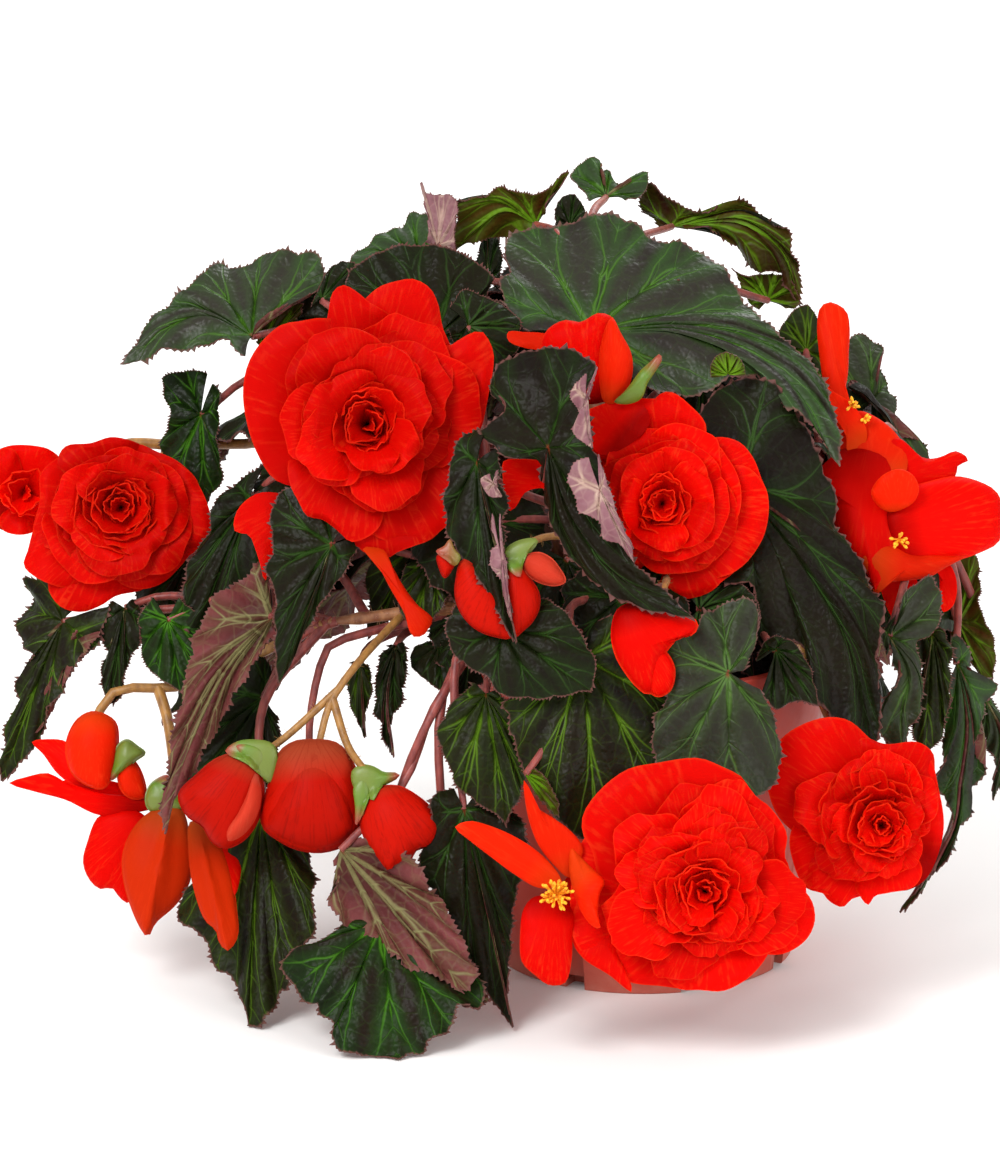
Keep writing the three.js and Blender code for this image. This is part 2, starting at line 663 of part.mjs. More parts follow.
// Every stalk is cut back from the stems and from the stalks before it, then every blade or head is
// cut back from all of those and from the blades before it.
const stalks = plantPieces.map((piece) => {
  const solid = trimmed(piece.stalk.shape(0), settled);
  settled.push(piece.stalk.shape(GAP));
  return solid;
});
const stalksFrom = settled.length - plantPieces.length;
plantPieces.forEach((piece, index) => {
  const others = settled.filter((cutter, place) => place !== stalksFrom + index);
  const body = trimmed(piece.shape(0), others);
  settled.push(piece.shape(GAP));
  addMesh(piece.name, largestPiece(body.add(stalks[index])), piece.colour, piece.roughness);
});

export default group;
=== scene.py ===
"""A tuberous begonia in a plastic nursery pot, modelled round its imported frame.

Lengths in this file are millimetres until a piece is finished, which scales it to metres.
"""
import bisect
import math
import random

import bmesh
import bpy
from bpy.props import FloatProperty, FloatVectorProperty, IntProperty, PointerProperty
from mathutils import Matrix, Vector, noise


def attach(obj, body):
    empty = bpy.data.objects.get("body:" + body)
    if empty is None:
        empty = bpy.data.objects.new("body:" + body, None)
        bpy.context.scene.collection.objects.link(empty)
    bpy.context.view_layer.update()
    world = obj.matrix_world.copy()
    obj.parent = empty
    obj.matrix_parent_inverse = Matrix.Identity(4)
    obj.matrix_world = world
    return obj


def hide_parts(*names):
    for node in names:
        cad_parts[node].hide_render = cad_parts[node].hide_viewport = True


bl_info = {
    "name": "Potted begonia",
    "version": (1, 0, 0),
    "blender": (4, 5, 0),
    "location": "View3D > Sidebar > Begonia",
    "description": "Builds a tuberous begonia in a nursery pot, leaf by leaf and petal by petal",
    "category": "Add Mesh",
}

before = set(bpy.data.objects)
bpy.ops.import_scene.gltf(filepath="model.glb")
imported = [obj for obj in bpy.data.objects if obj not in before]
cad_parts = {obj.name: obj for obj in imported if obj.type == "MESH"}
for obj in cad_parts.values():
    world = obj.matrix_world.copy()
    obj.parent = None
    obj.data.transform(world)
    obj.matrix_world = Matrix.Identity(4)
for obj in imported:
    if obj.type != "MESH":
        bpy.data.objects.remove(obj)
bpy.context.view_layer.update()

MM = 0.001
BODY = "root"

# ---- the layout's own frame ---------------------------------------------------------------------
# A place is written (across, up, near) as a viewer sees it from in front and above: across and up
# in the picture plane through the centre of the pot's base, near out of it towards the viewer.

VIEW_TILT = math.radians(17)
VIEW_DISTANCE = 3000
VIEW_AIM = (-47.3, 120.0)
PICTURE_HEIGHT = 389.3
SENSOR = 36
PICTURE_GRAIN = 3  # steps to a millimetre in places read off the picture plane
PICTURE_ORIGIN = (642, 944)  # where the pot's base lies in them
RIGHT = Vector((1, 0, 0))
RISE = Vector((0, math.sin(VIEW_TILT), math.cos(VIEW_TILT)))
TOWARD = Vector((0, -math.cos(VIEW_TILT), math.sin(VIEW_TILT)))
UP = Vector((0, 0, 1))


def seen(place):
    """The point seen at (across, up) and standing near out of the picture plane."""
    across, up, near = place
    shrink = 1 - near / VIEW_DISTANCE
    flat_across = VIEW_AIM[0] + (across - VIEW_AIM[0]) * shrink
    flat_up = VIEW_AIM[1] + (up - VIEW_AIM[1]) * shrink
    return RIGHT * flat_across + RISE * flat_up + TOWARD * near


def read(right, down, near):
    """The three numbers for a place read off the picture plane."""
    return ((right - PICTURE_ORIGIN[0]) / PICTURE_GRAIN, (PICTURE_ORIGIN[1] - down) / PICTURE_GRAIN, near)


def from_pot(x, y, z):
    """The same three numbers for a place in the pot's own frame, where the viewer can't see."""
    point = Vector((x, y, z))
    near = point.dot(TOWARD)
    shrink = 1 - near / VIEW_DISTANCE
    across = VIEW_AIM[0] + (x - VIEW_AIM[0]) / shrink
    up = VIEW_AIM[1] + (point.dot(RISE) - VIEW_AIM[1]) / shrink
    return (across, up, near)


def heading(direction):
    """A direction given in the same three axes."""
    across, up, near = direction
    return (RIGHT * across + RISE * up + TOWARD * near).normalized()


def mix(a, b, share):
    """The value a share of the way from a to b."""
    return a + (b - a) * share


# ---- the plant's layout, in millimetres -----------------------------------------------------------

STEMS = {
    "stem_left": [(-8, -4, 98), (-32, -12, 119), (-62, -20, 124), (-86, -24, 122), (-107, -26, 120)],
    "stem_upper_left": [(-7, 5, 98), (-26, 2, 132), (-50, -6, 162), (-76, -12, 186), (-92, -14, 192)],
    "stem_top": [(2, 8, 99), (-6, 10, 140), (-16, 16, 185), (-22, 36, 222)],
    "stem_right": [(9, 2, 98), (36, 4, 127), (62, 12, 150), (84, 18, 166)],
    "stem_front": [(3, -9, 98), (7, -16, 120), (6, -20, 142), (2, -22, 160)],
    "stem_back": [(-3, 11, 98), (-10, 36, 128), (-18, 62, 150), (-24, 84, 166)],
}

# The leaves. A place that the viewer sees is read off the picture plane as (right, down), in thirds
# of a millimetre from its top left corner.
# on: what carries the leaf stalk and how far along; via: where the stalk passes; hub: where the main
# veins meet; tip_near: how near the tip stands; edge: the blade's outline from one side of the notch
# round to the other; spine: where the midrib bends; faces: where the upper side looks; skin and
# under: the finish of the two sides; veins: how many main ones; wave: how high the rim ruffles, as a
# share of the length; sag: how far the edge hangs back; flaps: parts of the edge folded over, with
# the side that they show. A leaf without an edge has its tip, the half widths on either side of its
# midrib, and how far its lobes reach back.
LEAVES = {
    "leaf_upper_left": dict(
        on=("stem_upper_left", 0.82), via=[(-112, 205, 20)], hub=read(252, 336, 30), tip_near=26,
        faces=(-0.1, 0.55, 0.8), skin="silver", spine=[(196, 316)], edge=[(246, 356), (236, 350),
            (229, 343), (204, 342), (180, 346), (160, 352), (124, 365), (153, 319), (180, 298),
            (200, 280), (220, 262), (240, 268), (260, 256), (285, 254), (321, 260), (317, 287),
            (290, 304), (262, 320)]),
    "leaf_grey_back": dict(
        on=("stem_upper_left", 0.7), via=[(-66, 215, -6)], hub=read(420, 258, -8), tip_near=-12,
        faces=(-0.2, 0.6, 0.7), skin="silver", edge=[(432, 270), (442, 250), (438, 226), (426, 215),
            (413, 213), (400, 226), (388, 231), (376, 237), (366, 248), (356, 250), (350, 276),
            (372, 292), (405, 290)]),
    "leaf_skyline": dict(
        on=("stem_top", 0.95), hub=read(536, 224, 14), tip_near=8, faces=(0, 0.4, -0.9),
        under="backlit", spine=[(505, 210)], edge=[(540, 238), (520, 236), (505, 240), (487, 240),
            (470, 243), (455, 248), (455, 232), (458, 215), (456, 200), (470, 198), (487, 194),
            (500, 187), (510, 188), (521, 192), (541, 190), (553, 185), (561, 175), (568, 174),
            (563, 184), (556, 192), (547, 202), (544, 214)]),
    "leaf_behind_great_flower": dict(
        on=("stem_upper_left", 0.62), via=[(-56, 190, 30)], hub=read(436, 338, 40), tip_near=28,
        faces=(-0.1, 0.4, 0.9), edge=[(470, 352), (488, 330), (503, 306), (486, 296), (494, 280),
            (478, 267), (461, 254), (436, 247), (408, 248), (383, 254), (368, 262), (352, 268),
            (345, 290), (360, 320), (400, 348)]),
    "leaf_top_twist": dict(
        on=("stem_top", 0.98), hub=read(606, 197, -14), tip_near=-20, faces=(0.1, 0.5, 0.8),
        skin="silver", sag=0.02, edge=[(590, 201), (584, 190), (577, 182), (572, 173), (584, 161),
            (600, 160), (602, 173), (607, 170), (613, 180), (622, 188), (632, 180), (638, 173),
            (647, 173), (648, 184), (641, 193), (625, 200)]),
    "leaf_top_right": dict(
        on=("stem_top", 0.9), hub=read(672, 226, -26), tip_near=-28, faces=(0.2, 0.5, -0.8),
        under="backlit", sag=0.05, spine=[(740, 222), (782, 252)], edge=[(663, 232), (655, 224),
            (645, 213), (640, 200), (641, 191), (655, 187), (669, 200), (681, 205), (698, 210),
            (713, 209), (733, 206), (742, 200), (749, 207), (759, 217), (774, 223), (786, 224),
            (791, 240), (797, 272), (798, 292), (801, 313), (790, 290), (783, 274), (770, 268),
            (757, 268), (748, 261), (736, 247), (723, 237), (708, 227), (698, 225), (683, 226)]),
    "leaf_broad_top": dict(
        on=("stem_top", 0.8), via=[(-18, 206, 32)], hub=read(590, 332, 50), tip_near=76,
        faces=(0.05, 0.5, 0.85), skin="silver", veins=9, sag=0.06, wave=0.03, spine=[(700, 334),
            (786, 378)], edge=[(640, 386), (680, 392), (708, 388), (730, 378), (758, 376), (772, 384),
            (783, 396), (787, 412), (802, 417), (822, 441), (838, 465), (840, 441), (831, 403),
            (809, 363), (779, 340), (764, 325), (743, 302), (733, 285), (723, 269), (708, 255),
            (683, 243), (656, 243), (637, 224), (602, 218), (569, 222), (541, 226), (516, 234),
            (505, 246), (511, 272), (501, 286), (506, 302), (530, 333)],
        flaps=[dict(hub=(728, 374), side="backlit", edge=[(745, 375), (743, 364), (737, 356),
                    (726, 352), (716, 356), (711, 366), (712, 378)])]),
    "leaf_centre_folded": dict(
        on=("stem_front", 0.96), via=[(-30, 150, 84)], hub=read(548, 448, 108), tip_near=124,
        faces=(-0.25, 0.15, 1), skin="dark", spine=[(572, 520), (624, 582)], edge=[(540, 480),
            (538, 460), (511, 458), (496, 447), (482, 433), (502, 419), (507, 403), (491, 395),
            (495, 371), (515, 354), (543, 350), (577, 353), (596, 369), (588, 388), (583, 407),
            (589, 425), (591, 446), (597, 458), (606, 485), (621, 525), (633, 562), (652, 581),
            (695, 618), (652, 610), (611, 593), (569, 554), (551, 520), (543, 500)],
        flaps=[dict(hub=(587, 398), side="pale", edge=[(598, 368), (591, 388), (586, 407), (589, 425),
                    (592, 447), (584, 442), (575, 436), (573, 428), (581, 419), (577, 408), (571, 396),
                    (576, 383), (586, 374)]),
            dict(hub=(600, 490), side="pale", edge=[(598, 455), (607, 484), (614, 506), (622, 525),
                    (631, 547), (633, 562), (621, 545), (605, 538), (601, 524), (592, 516), (580, 510),
                    (576, 494), (569, 478), (575, 464), (589, 458)])]),
    "leaf_pendant_right": dict(
        on=("stem_right", 0.55), via=[(40, 152, 50)], hub=read(740, 486, 68), tip_near=84,
        faces=(0.15, 0.2, 1), skin="dark", spine=[(800, 560), (852, 650)], edge=[(705, 545), (694, 480),
            (700, 420), (712, 396), (739, 379), (770, 386), (802, 425), (822, 470), (838, 498),
            (835, 525), (850, 546), (866, 573), (868, 592), (880, 605), (876, 650), (880, 704),
            (874, 770), (845, 730), (822, 708), (812, 698), (808, 680), (812, 662), (804, 643),
            (789, 639), (776, 648), (762, 636), (756, 605), (752, 587), (722, 585)]),
    "leaf_lobed_front": dict(
        on=("stem_right", 0.3), via=[(32, 104, 78), (31, 98, 94)], hub=read(728, 673, 106),
        tip_near=110, faces=(0.1, 0.15, 1), skin="grey", edge=[(741, 671), (752, 652), (757, 625),
            (757, 606), (740, 599), (722, 607), (704, 616), (696, 630), (675, 640), (664, 662),
            (663, 680), (669, 697), (656, 717), (653, 735), (658, 765), (690, 800), (730, 815),
            (775, 780), (779, 742), (771, 715), (758, 690)]),
    "leaf_heart_front": dict(
        on=("stem_front", 0.45), via=[(-24, 112, 90)], hub=read(583, 658, 101), tip_near=106,
        faces=(0, 0.15, 1), skin="olive", edge=[(572, 640), (556, 650), (540, 676), (515, 697),
            (504, 706), (511, 718), (511, 731), (518, 746), (521, 762), (530, 778), (545, 803),
            (565, 826), (598, 848), (618, 838), (645, 812), (666, 780), (676, 740), (672, 700),
            (660, 665), (645, 638), (622, 618), (598, 620)]),
    "leaf_under_bud": dict(
        on=("stem_front", 0.35), via=[(-36, 108, 84)], hub=read(503, 630, 106), tip_near=112,
        faces=(-0.15, 0.2, 1), edge=[(486, 612), (466, 602), (450, 617), (449, 640), (461, 660),
            (478, 670), (492, 680), (500, 693), (522, 696), (548, 697), (590, 690), (596, 668),
            (583, 640), (566, 615), (545, 600), (520, 602)]),
    "leaf_front_left": dict(
        on=("stem_left", 0.3), via=[(-50, 96, 84)], hub=read(486, 694, 93), tip_near=98,
        faces=(-0.1, 0.1, 1), skin="olive", edge=[(476, 684), (460, 696), (448, 712), (439, 730),
            (441, 746), (450, 762), (456, 782), (475, 800), (490, 810), (506, 821), (518, 800),
            (524, 775), (520, 750), (514, 728), (508, 706), (496, 690)]),
    "leaf_long_pendant": dict(
        on=("stem_left", 0.38), via=[(-61, 98, 86), (-62, 70, 90)], hub=read(464, 809, 92), tip_near=88,
        faces=(0, 0.1, 1), edge=[(455, 790), (440, 792), (431, 805), (434, 821), (427, 843), (420, 864),
            (427, 883), (440, 900), (450, 915), (460, 936), (470, 960), (482, 987), (491, 995),
            (499, 1009), (512, 1024), (508, 1003), (507, 972), (510, 945), (511, 920), (517, 888),
            (526, 860), (522, 825), (500, 800), (478, 790)]),
    "leaf_purple_low": dict(
        on=("stem_left", 0.56), via=[read(459, 664, 66), read(430, 716, 80), read(404, 783, 86)],
        hub=read(341, 850, 92), tip_near=98, veins=5, faces=(0.2, -0.1, -1), under="purple",
        edge=[(333, 860), (340, 880), (330, 897), (338, 913), (347, 925), (360, 934), (376, 936),
            (386, 950), (398, 953), (405, 965), (420, 970), (438, 974), (453, 986), (467, 989),
            (475, 979), (471, 962), (461, 938), (452, 924), (443, 906), (430, 890), (420, 868),
            (400, 852), (375, 842), (354, 840)]),
    "leaf_table": dict(
        on=("stem_left", 0.42), via=[(-66, 84, 86), (-81, 50, 84)], hub=read(380, 925, 92),
        tip_near=112, faces=(0, 0.5, 0.9), skin="vivid", edge=[(360, 912), (330, 935), (298, 950),
            (283, 965), (290, 978), (298, 988), (308, 1002), (319, 1001), (322, 1015), (336, 1025),
            (333, 1037), (340, 1050), (366, 1056), (398, 1065), (408, 1054), (420, 1054), (429, 1041),
            (448, 1032), (452, 1017), (458, 1006), (478, 1009), (483, 998), (475, 970), (440, 935),
            (400, 912)]),
    "leaf_low_left": dict(
        on=("stem_left", 0.97), via=[(-126, 80, 56)], hub=read(262, 806, 60), tip_near=84,
        faces=(-0.45, 0.1, 1), skin="olive", edge=[(240, 812), (214, 850), (190, 885), (179, 909),
            (184, 925), (200, 932), (211, 950), (217, 970), (230, 974), (234, 987), (243, 1001),
            (247, 1016), (247, 1031), (260, 1027), (264, 1018), (272, 1010), (273, 996), (279, 990),
            (285, 990), (287, 978), (294, 962), (312, 942), (314, 900), (308, 868), (302, 836),
            (284, 810)]),
    "leaf_purple_left": dict(
        on=("stem_left", 1), via=[(-122, 122, 54)], hub=read(272, 618, 72), tip_near=76,
        faces=(0.2, 0, -1), under="purple", spine=[(226, 670), (190, 745)], edge=[(271, 590),
            (258, 564), (245, 578), (229, 589), (212, 604), (206, 622), (195, 640), (192, 658),
            (186, 678), (181, 710), (172, 748), (171, 770), (163, 800), (165, 832), (176, 801),
            (196, 762), (214, 725), (242, 682), (257, 659), (275, 634)]),
    "leaf_below_great_flower": dict(
        on=("stem_upper_left", 0.4), via=[(-100, 150, 60)], hub=read(332, 545, 78), tip_near=86,
        faces=(-0.1, 0.1, 1), skin="dark", edge=[(345, 520), (320, 500), (295, 488), (280, 496),
            (271, 520), (275, 545), (268, 573), (276, 590), (276, 620), (277, 655), (279, 685),
            (293, 659), (302, 638), (313, 616), (324, 598), (340, 577), (352, 556), (356, 538)]),
    "leaf_dark_left": dict(
        on=("stem_upper_left", 0.5), via=[(-112, 158, 20)], hub=read(250, 500, 34), tip_near=40,
        faces=(-0.2, 0.2, 1), edge=[(262, 466), (248, 473), (235, 486), (222, 500), (214, 508),
            (213, 530), (200, 545), (187, 570), (185, 600), (190, 650), (210, 612), (228, 592),
            (245, 582), (262, 570), (290, 540), (296, 500), (282, 476)]),
    "leaf_dark_hub_left": dict(
        on=("stem_left", 0.94), hub=read(263, 698, 50), tip_near=54, faces=(-0.15, 0.2, 1),
        edge=[(276, 690), (268, 664), (254, 655), (240, 672), (222, 700), (208, 728), (190, 765),
            (186, 800), (215, 815), (250, 812), (268, 780), (278, 745), (276, 715)]),
    "leaf_far_left": dict(
        on=("stem_left", 0.99), via=[(-150, 112, 30)], hub=read(63, 621, 22), tip_near=26,
        faces=(-0.5, 0.1, 0.8), skin="olive", edge=[(84, 600), (60, 590), (40, 580), (24, 578),
            (29, 600), (21, 616), (20, 630), (30, 650), (41, 658), (27, 670), (19, 680), (17, 702),
            (9, 730), (1, 779), (25, 755), (42, 722), (56, 700), (80, 662), (101, 628), (107, 606)],
        flaps=[dict(hub=(78, 640), side="purple", edge=[(100, 632), (80, 662), (57, 700), (44, 725),
                    (36, 735), (40, 700), (52, 672), (64, 650), (80, 632)])]),
    "leaf_left_middle": dict(
        on=("stem_left", 0.96), via=[(-138, 116, 34)], hub=read(168, 620, 34), tip_near=40,
        faces=(-0.2, 0.2, 1), skin="vivid", edge=[(155, 600), (141, 615), (140, 634), (143, 657),
            (148, 668), (159, 676), (164, 681), (180, 690), (194, 672), (198, 645), (195, 615),
            (180, 600)]),
    "leaf_left_small": dict(
        on=("stem_upper_left", 0.9), via=[(-128, 190, 4)], hub=read(201, 415, 10), tip_near=14,
        faces=(-0.2, 0.2, 1), skin="vivid", edge=[(208, 373), (194, 372), (183, 371), (174, 374),
            (162, 378), (166, 388), (167, 401), (173, 414), (167, 430), (160, 446), (170, 468),
            (190, 486), (206, 502), (222, 478), (218, 450), (217, 432), (218, 412), (219, 393),
            (213, 383)]),
    "leaf_right_grey": dict(
        on=("stem_right", 0.85), via=[(88, 132, 40)], hub=read(890, 637, 58), tip_near=64,
        faces=(0.2, 0.1, 1), skin="grey", spine=[(908, 672), (902, 714)], edge=[(886, 655), (884, 630),
            (896, 616), (904, 595), (920, 582), (932, 577), (939, 595), (939, 616), (929, 637),
            (916, 642), (920, 660), (921, 685), (918, 712), (910, 728), (903, 748), (889, 738),
            (880, 724), (884, 706), (893, 690), (900, 676), (892, 662)]),
    "leaf_right_falling": dict(
        on=("stem_right", 0.97), via=[(104, 124, 16)], hub=read(957, 664, 26), tip_near=44,
        faces=(0.4, 0.1, 0.9), skin="silver", spine=[(966, 720), (958, 780), (944, 840)],
        edge=[(949, 655), (954, 637), (966, 650), (975, 672), (996, 684), (990, 700), (978, 720),
            (972, 735), (974, 755), (984, 770), (976, 785), (966, 800), (969, 812), (955, 828),
            (948, 848), (936, 868), (925, 885), (906, 910), (921, 885), (936, 860), (944, 835),
            (946, 812), (944, 795), (940, 790), (945, 765), (949, 730), (948, 700), (946, 680)]),
    "leaf_right_olive": dict(
        on=("stem_right", 0.99), hub=read(958, 622, 6), tip_near=4, faces=(0.3, 0, -0.9),
        under="backlit", edge=[(944, 617), (950, 590), (957, 562), (975, 552), (979, 580), (980, 607),
            (992, 640), (990, 680), (975, 668), (962, 648), (950, 632)]),
    "leaf_right_upper": dict(
        on=("stem_right", 0.75), via=[(60, 170, -6)], hub=read(872, 400, 0), tip_near=6,
        faces=(0.3, 0.5, 0.8), skin="grey", edge=[(840, 440), (830, 400), (832, 360), (848, 340),
            (862, 337), (878, 343), (882, 350), (879, 366), (884, 380), (888, 392), (896, 398),
            (893, 425), (898, 440), (912, 440), (926, 446), (928, 458), (900, 470), (865, 465)]),
    "leaf_dark_beside_flower": dict(
        on=("stem_front", 0.8), via=[(-44, 152, 84)], hub=read(477, 462, 104), tip_near=124,
        faces=(-0.3, 0.1, 1), edge=[(486, 432), (468, 432), (455, 462), (448, 500), (446, 528),
            (456, 547), (466, 561), (478, 573), (488, 591), (498, 612), (513, 641), (511, 615),
            (507, 591), (504, 562), (501, 540), (502, 520), (509, 506), (501, 488), (497, 468),
            (498, 448)],
        flaps=[dict(hub=(494, 484), side="pale", edge=[(499, 470), (497, 486), (502, 497), (492, 497),
                    (484, 489), (481, 479), (490, 474)]),
            dict(hub=(503, 562), side="pale", edge=[(502, 515), (502, 540), (505, 565), (508, 591),
                    (512, 620), (505, 600), (500, 580), (491, 565), (491, 552), (498, 545), (493, 526),
                    (494, 514)])]),
    "leaf_back_left": dict(
        on=("stem_back", 0.5), via=[from_pot(-44, 48, 158)], hub=from_pot(-70, 52, 158),
        tip=from_pot(-112, 88, 78), halves=(34, 32), faces=(-0.6, 0.4, -0.8),
        lobes=0.4),
    "leaf_back_middle": dict(
        on=("stem_back", 0.98), via=[from_pot(-18, 76, 176)], hub=from_pot(-14, 84, 170),
        tip=from_pot(-28, 114, 88), halves=(36, 34), faces=(-0.1, 0.4, -1),
        lobes=0.4),
    "leaf_back_right": dict(
        on=("stem_back", 0.6), via=[from_pot(26, 56, 156)], hub=from_pot(48, 60, 152),
        tip=from_pot(84, 90, 74), halves=(32, 34), faces=(0.5, 0.4, -0.8),
        lobes=0.4),
    "leaf_back_low": dict(
        on=("stem_back", 0.3), via=[from_pot(6, 62, 126)], hub=from_pot(10, 82, 116),
        tip=from_pot(20, 104, 42), halves=(26, 26), faces=(0.2, 0.2, -1),
        lobes=0.35),
    "leaf_back_top": dict(
        on=("stem_top", 0.7), via=[from_pot(-4, 28, 208)], hub=from_pot(2, 52, 212),
        tip=from_pot(26, 104, 168), halves=(29, 30), faces=(0.1, 0.7, -0.6),
        lobes=0.35),
    # Smaller leaves round and between them.
    "leaf_rib_top": dict(
        on=("stem_upper_left", 0.6), hub=read(438, 246, 20), tip_near=14, faces=(0.2, 0.2, -1),
        under="pale", veins=5, edge=[(454, 254), (456, 228), (457, 203), (451, 196), (440, 196),
            (425, 192), (422, 184), (424, 202), (430, 222), (428, 242)]),
    "leaf_spire": dict(
        on=("stem_top", 0.8), hub=read(487, 280, 8), tip_near=-4, faces=(0.2, 0.3, 1), veins=5,
        edge=[(478, 286), (478, 262), (483, 235), (487, 200), (493, 215), (498, 240), (501, 264),
            (497, 288)]),
    "leaf_curl_left": dict(
        on=("stem_upper_left", 0.8), hub=read(262, 346, 26), tip_near=20, faces=(0.1, 0.1, -1),
        under="backlit", veins=5, edge=[(257, 343), (262, 325), (275, 312), (290, 303), (303, 303),
            (300, 314), (286, 326), (272, 340)]),
    "leaf_curl_middle": dict(
        on=("stem_upper_left", 0.75), hub=read(322, 300, 30), tip_near=20, faces=(0, 0.4, 0.9), veins=5,
        edge=[(312, 306), (320, 288), (330, 272), (341, 265), (353, 268), (352, 282), (340, 292),
            (332, 306)]),
    "leaf_behind_guard": dict(
        on=("stem_upper_left", 0.62), hub=read(468, 326, 56), tip_near=60, faces=(0.2, 0.3, 0.9),
        edge=[(452, 306), (464, 290), (486, 297), (503, 307), (518, 322), (520, 335), (516, 352),
            (500, 362), (492, 372), (490, 388), (474, 380), (458, 352), (450, 328)]),
    "leaf_top_limb": dict(
        on=("stem_top", 0.92), hub=read(768, 300, -26), tip_near=-26, faces=(0, 0.4, -0.8),
        under="backlit", edge=[(760, 309), (750, 303), (744, 292), (740, 280), (733, 268), (742, 274),
            (762, 275), (785, 276), (796, 290), (798, 305), (785, 309)]),
    "leaf_small_top": dict(
        on=("stem_top", 0.96), hub=read(570, 226, -6), tip_near=-10, faces=(0, 0.3, 1), veins=5,
        edge=[(556, 226), (556, 210), (564, 196), (574, 194), (584, 206), (584, 224)]),
    "leaf_olive_behind": dict(
        on=("stem_right", 0.7), hub=read(806, 350, 14), tip_near=10, faces=(0.3, 0.3, 1), skin="olive",
        edge=[(786, 392), (778, 360), (782, 330), (795, 312), (806, 305), (818, 320), (824, 350),
            (824, 390), (808, 408)]),
    "leaf_dark_middle": dict(
        on=("stem_upper_left", 0.3), via=[(-84, 132, 40)], hub=read(432, 560, 60), tip_near=66,
        faces=(-0.1, 0.2, 1), skin="olive", edge=[(420, 546), (440, 538), (452, 555), (451, 580),
            (446, 600), (432, 618), (414, 626), (402, 615), (401, 590), (408, 565)]),
    "leaf_left_hanging": dict(
        on=("stem_left", 0.98), via=[(-160, 116, 26)], hub=read(125, 608, 28), tip_near=32,
        faces=(-0.2, 0.1, 1), veins=5, edge=[(112, 600), (102, 632), (108, 655), (103, 668), (105, 686),
            (110, 705), (121, 697), (125, 677), (129, 661), (139, 643), (141, 615), (133, 598)]),
    "leaf_middle_hanging": dict(
        on=("stem_left", 0.5), via=[(-78, 104, 50)], hub=read(396, 646, 62), tip_near=66,
        faces=(-0.2, 0.1, 1), veins=5, spine=[(388, 695)], edge=[(391, 644), (383, 654), (378, 671),
            (376, 692), (377, 714), (382, 722), (388, 747), (394, 755), (391, 725), (399, 702),
            (403, 682), (406, 661), (402, 642)]),
    "leaf_olive_drop": dict(
        on=("stem_left", 0.55), via=[(-90, 100, 46)], hub=read(360, 662, 54), tip_near=58,
        faces=(-0.2, 0.1, 1), skin="olive", veins=5, edge=[(354, 661), (348, 682), (352, 705),
            (366, 737), (366, 712), (371, 687), (366, 664)]),
    "leaf_curled_inner": dict(
        on=("stem_left", 0.2), via=[(-44, 112, 52)], hub=read(440, 646, 58), tip_near=66,
        faces=(-0.3, -0.2, 1), edge=[(450, 642), (436, 641), (424, 640), (412, 648), (409, 662),
            (418, 672), (430, 683), (441, 690), (452, 682), (459, 668), (460, 652)]),
    "leaf_behind_buds": dict(
        on=("stem_left", 0.5), via=[read(350, 637, 62), read(330, 645, 64), read(316, 683, 66),
            read(309, 735, 68)], hub=read(311, 768, 68), tip_near=72, faces=(0.1, 0.1, 1), skin="olive",
        edge=[(304, 762), (298, 782), (300, 806), (311, 834), (322, 808), (325, 784), (319, 763)]),
    "leaf_maroon_low": dict(
        on=("stem_left", 0.4), via=[(-66, 84, 84), (-66, 30, 84)], hub=read(444, 984, 90), tip_near=96,
        faces=(0.1, 0.1, -1), under="purple", veins=5, edge=[(436, 984), (455, 980), (475, 988),
            (490, 1000), (478, 1006), (460, 1005), (444, 996)]),
    "leaf_right_edge": dict(
        on=("stem_right", 0.99), via=[(112, 110, 4)], hub=read(986, 700, 8), tip_near=14,
        faces=(0.3, 0.1, 1), skin="grey", veins=5, spine=[(1001, 740)], edge=[(980, 702), (990, 698),
            (1000, 716), (1004, 740), (998, 759), (999, 783), (990, 800), (993, 766), (986, 742),
            (980, 720)]),
    "leaf_right_fuzzy": dict(
        on=("stem_right", 0.9), via=[(96, 120, 30)], hub=read(932, 634, 38), tip_near=44,
        faces=(0.2, 0.1, 1), skin="olive", edge=[(922, 640), (936, 628), (946, 640), (948, 680),
            (945, 715), (938, 742), (924, 752), (914, 738), (918, 706), (922, 675)]),
    "leaf_before_pot": dict(
        on=("stem_right", 0.35), via=[(40, 104, 70)], hub=read(776, 650, 84), tip_near=90,
        faces=(0.1, 0.15, 1), edge=[(757, 662), (765, 642), (785, 638), (802, 652), (814, 684),
            (818, 706), (798, 700), (776, 708), (762, 694)]),
    "leaf_brown_lift": dict(
        on=("stem_front", 0.4), via=[(-24, 100, 88), (-30, 70, 100)], hub=read(526, 774, 106),
        tip_near=110, faces=(0.2, 0.1, -1), under="backlit", veins=5, edge=[(522, 772), (536, 770),
            (548, 785), (556, 800), (558, 816), (545, 806), (534, 793)]),
    "leaf_by_flower_centre": dict(
        on=("stem_right", 0.3), via=[(20, 120, 60)], hub=read(700, 610, 78), tip_near=84,
        faces=(0.1, 0.1, 1), edge=[(684, 590), (715, 582), (748, 590), (760, 615), (752, 645),
            (730, 662), (704, 650), (684, 625)]),
}

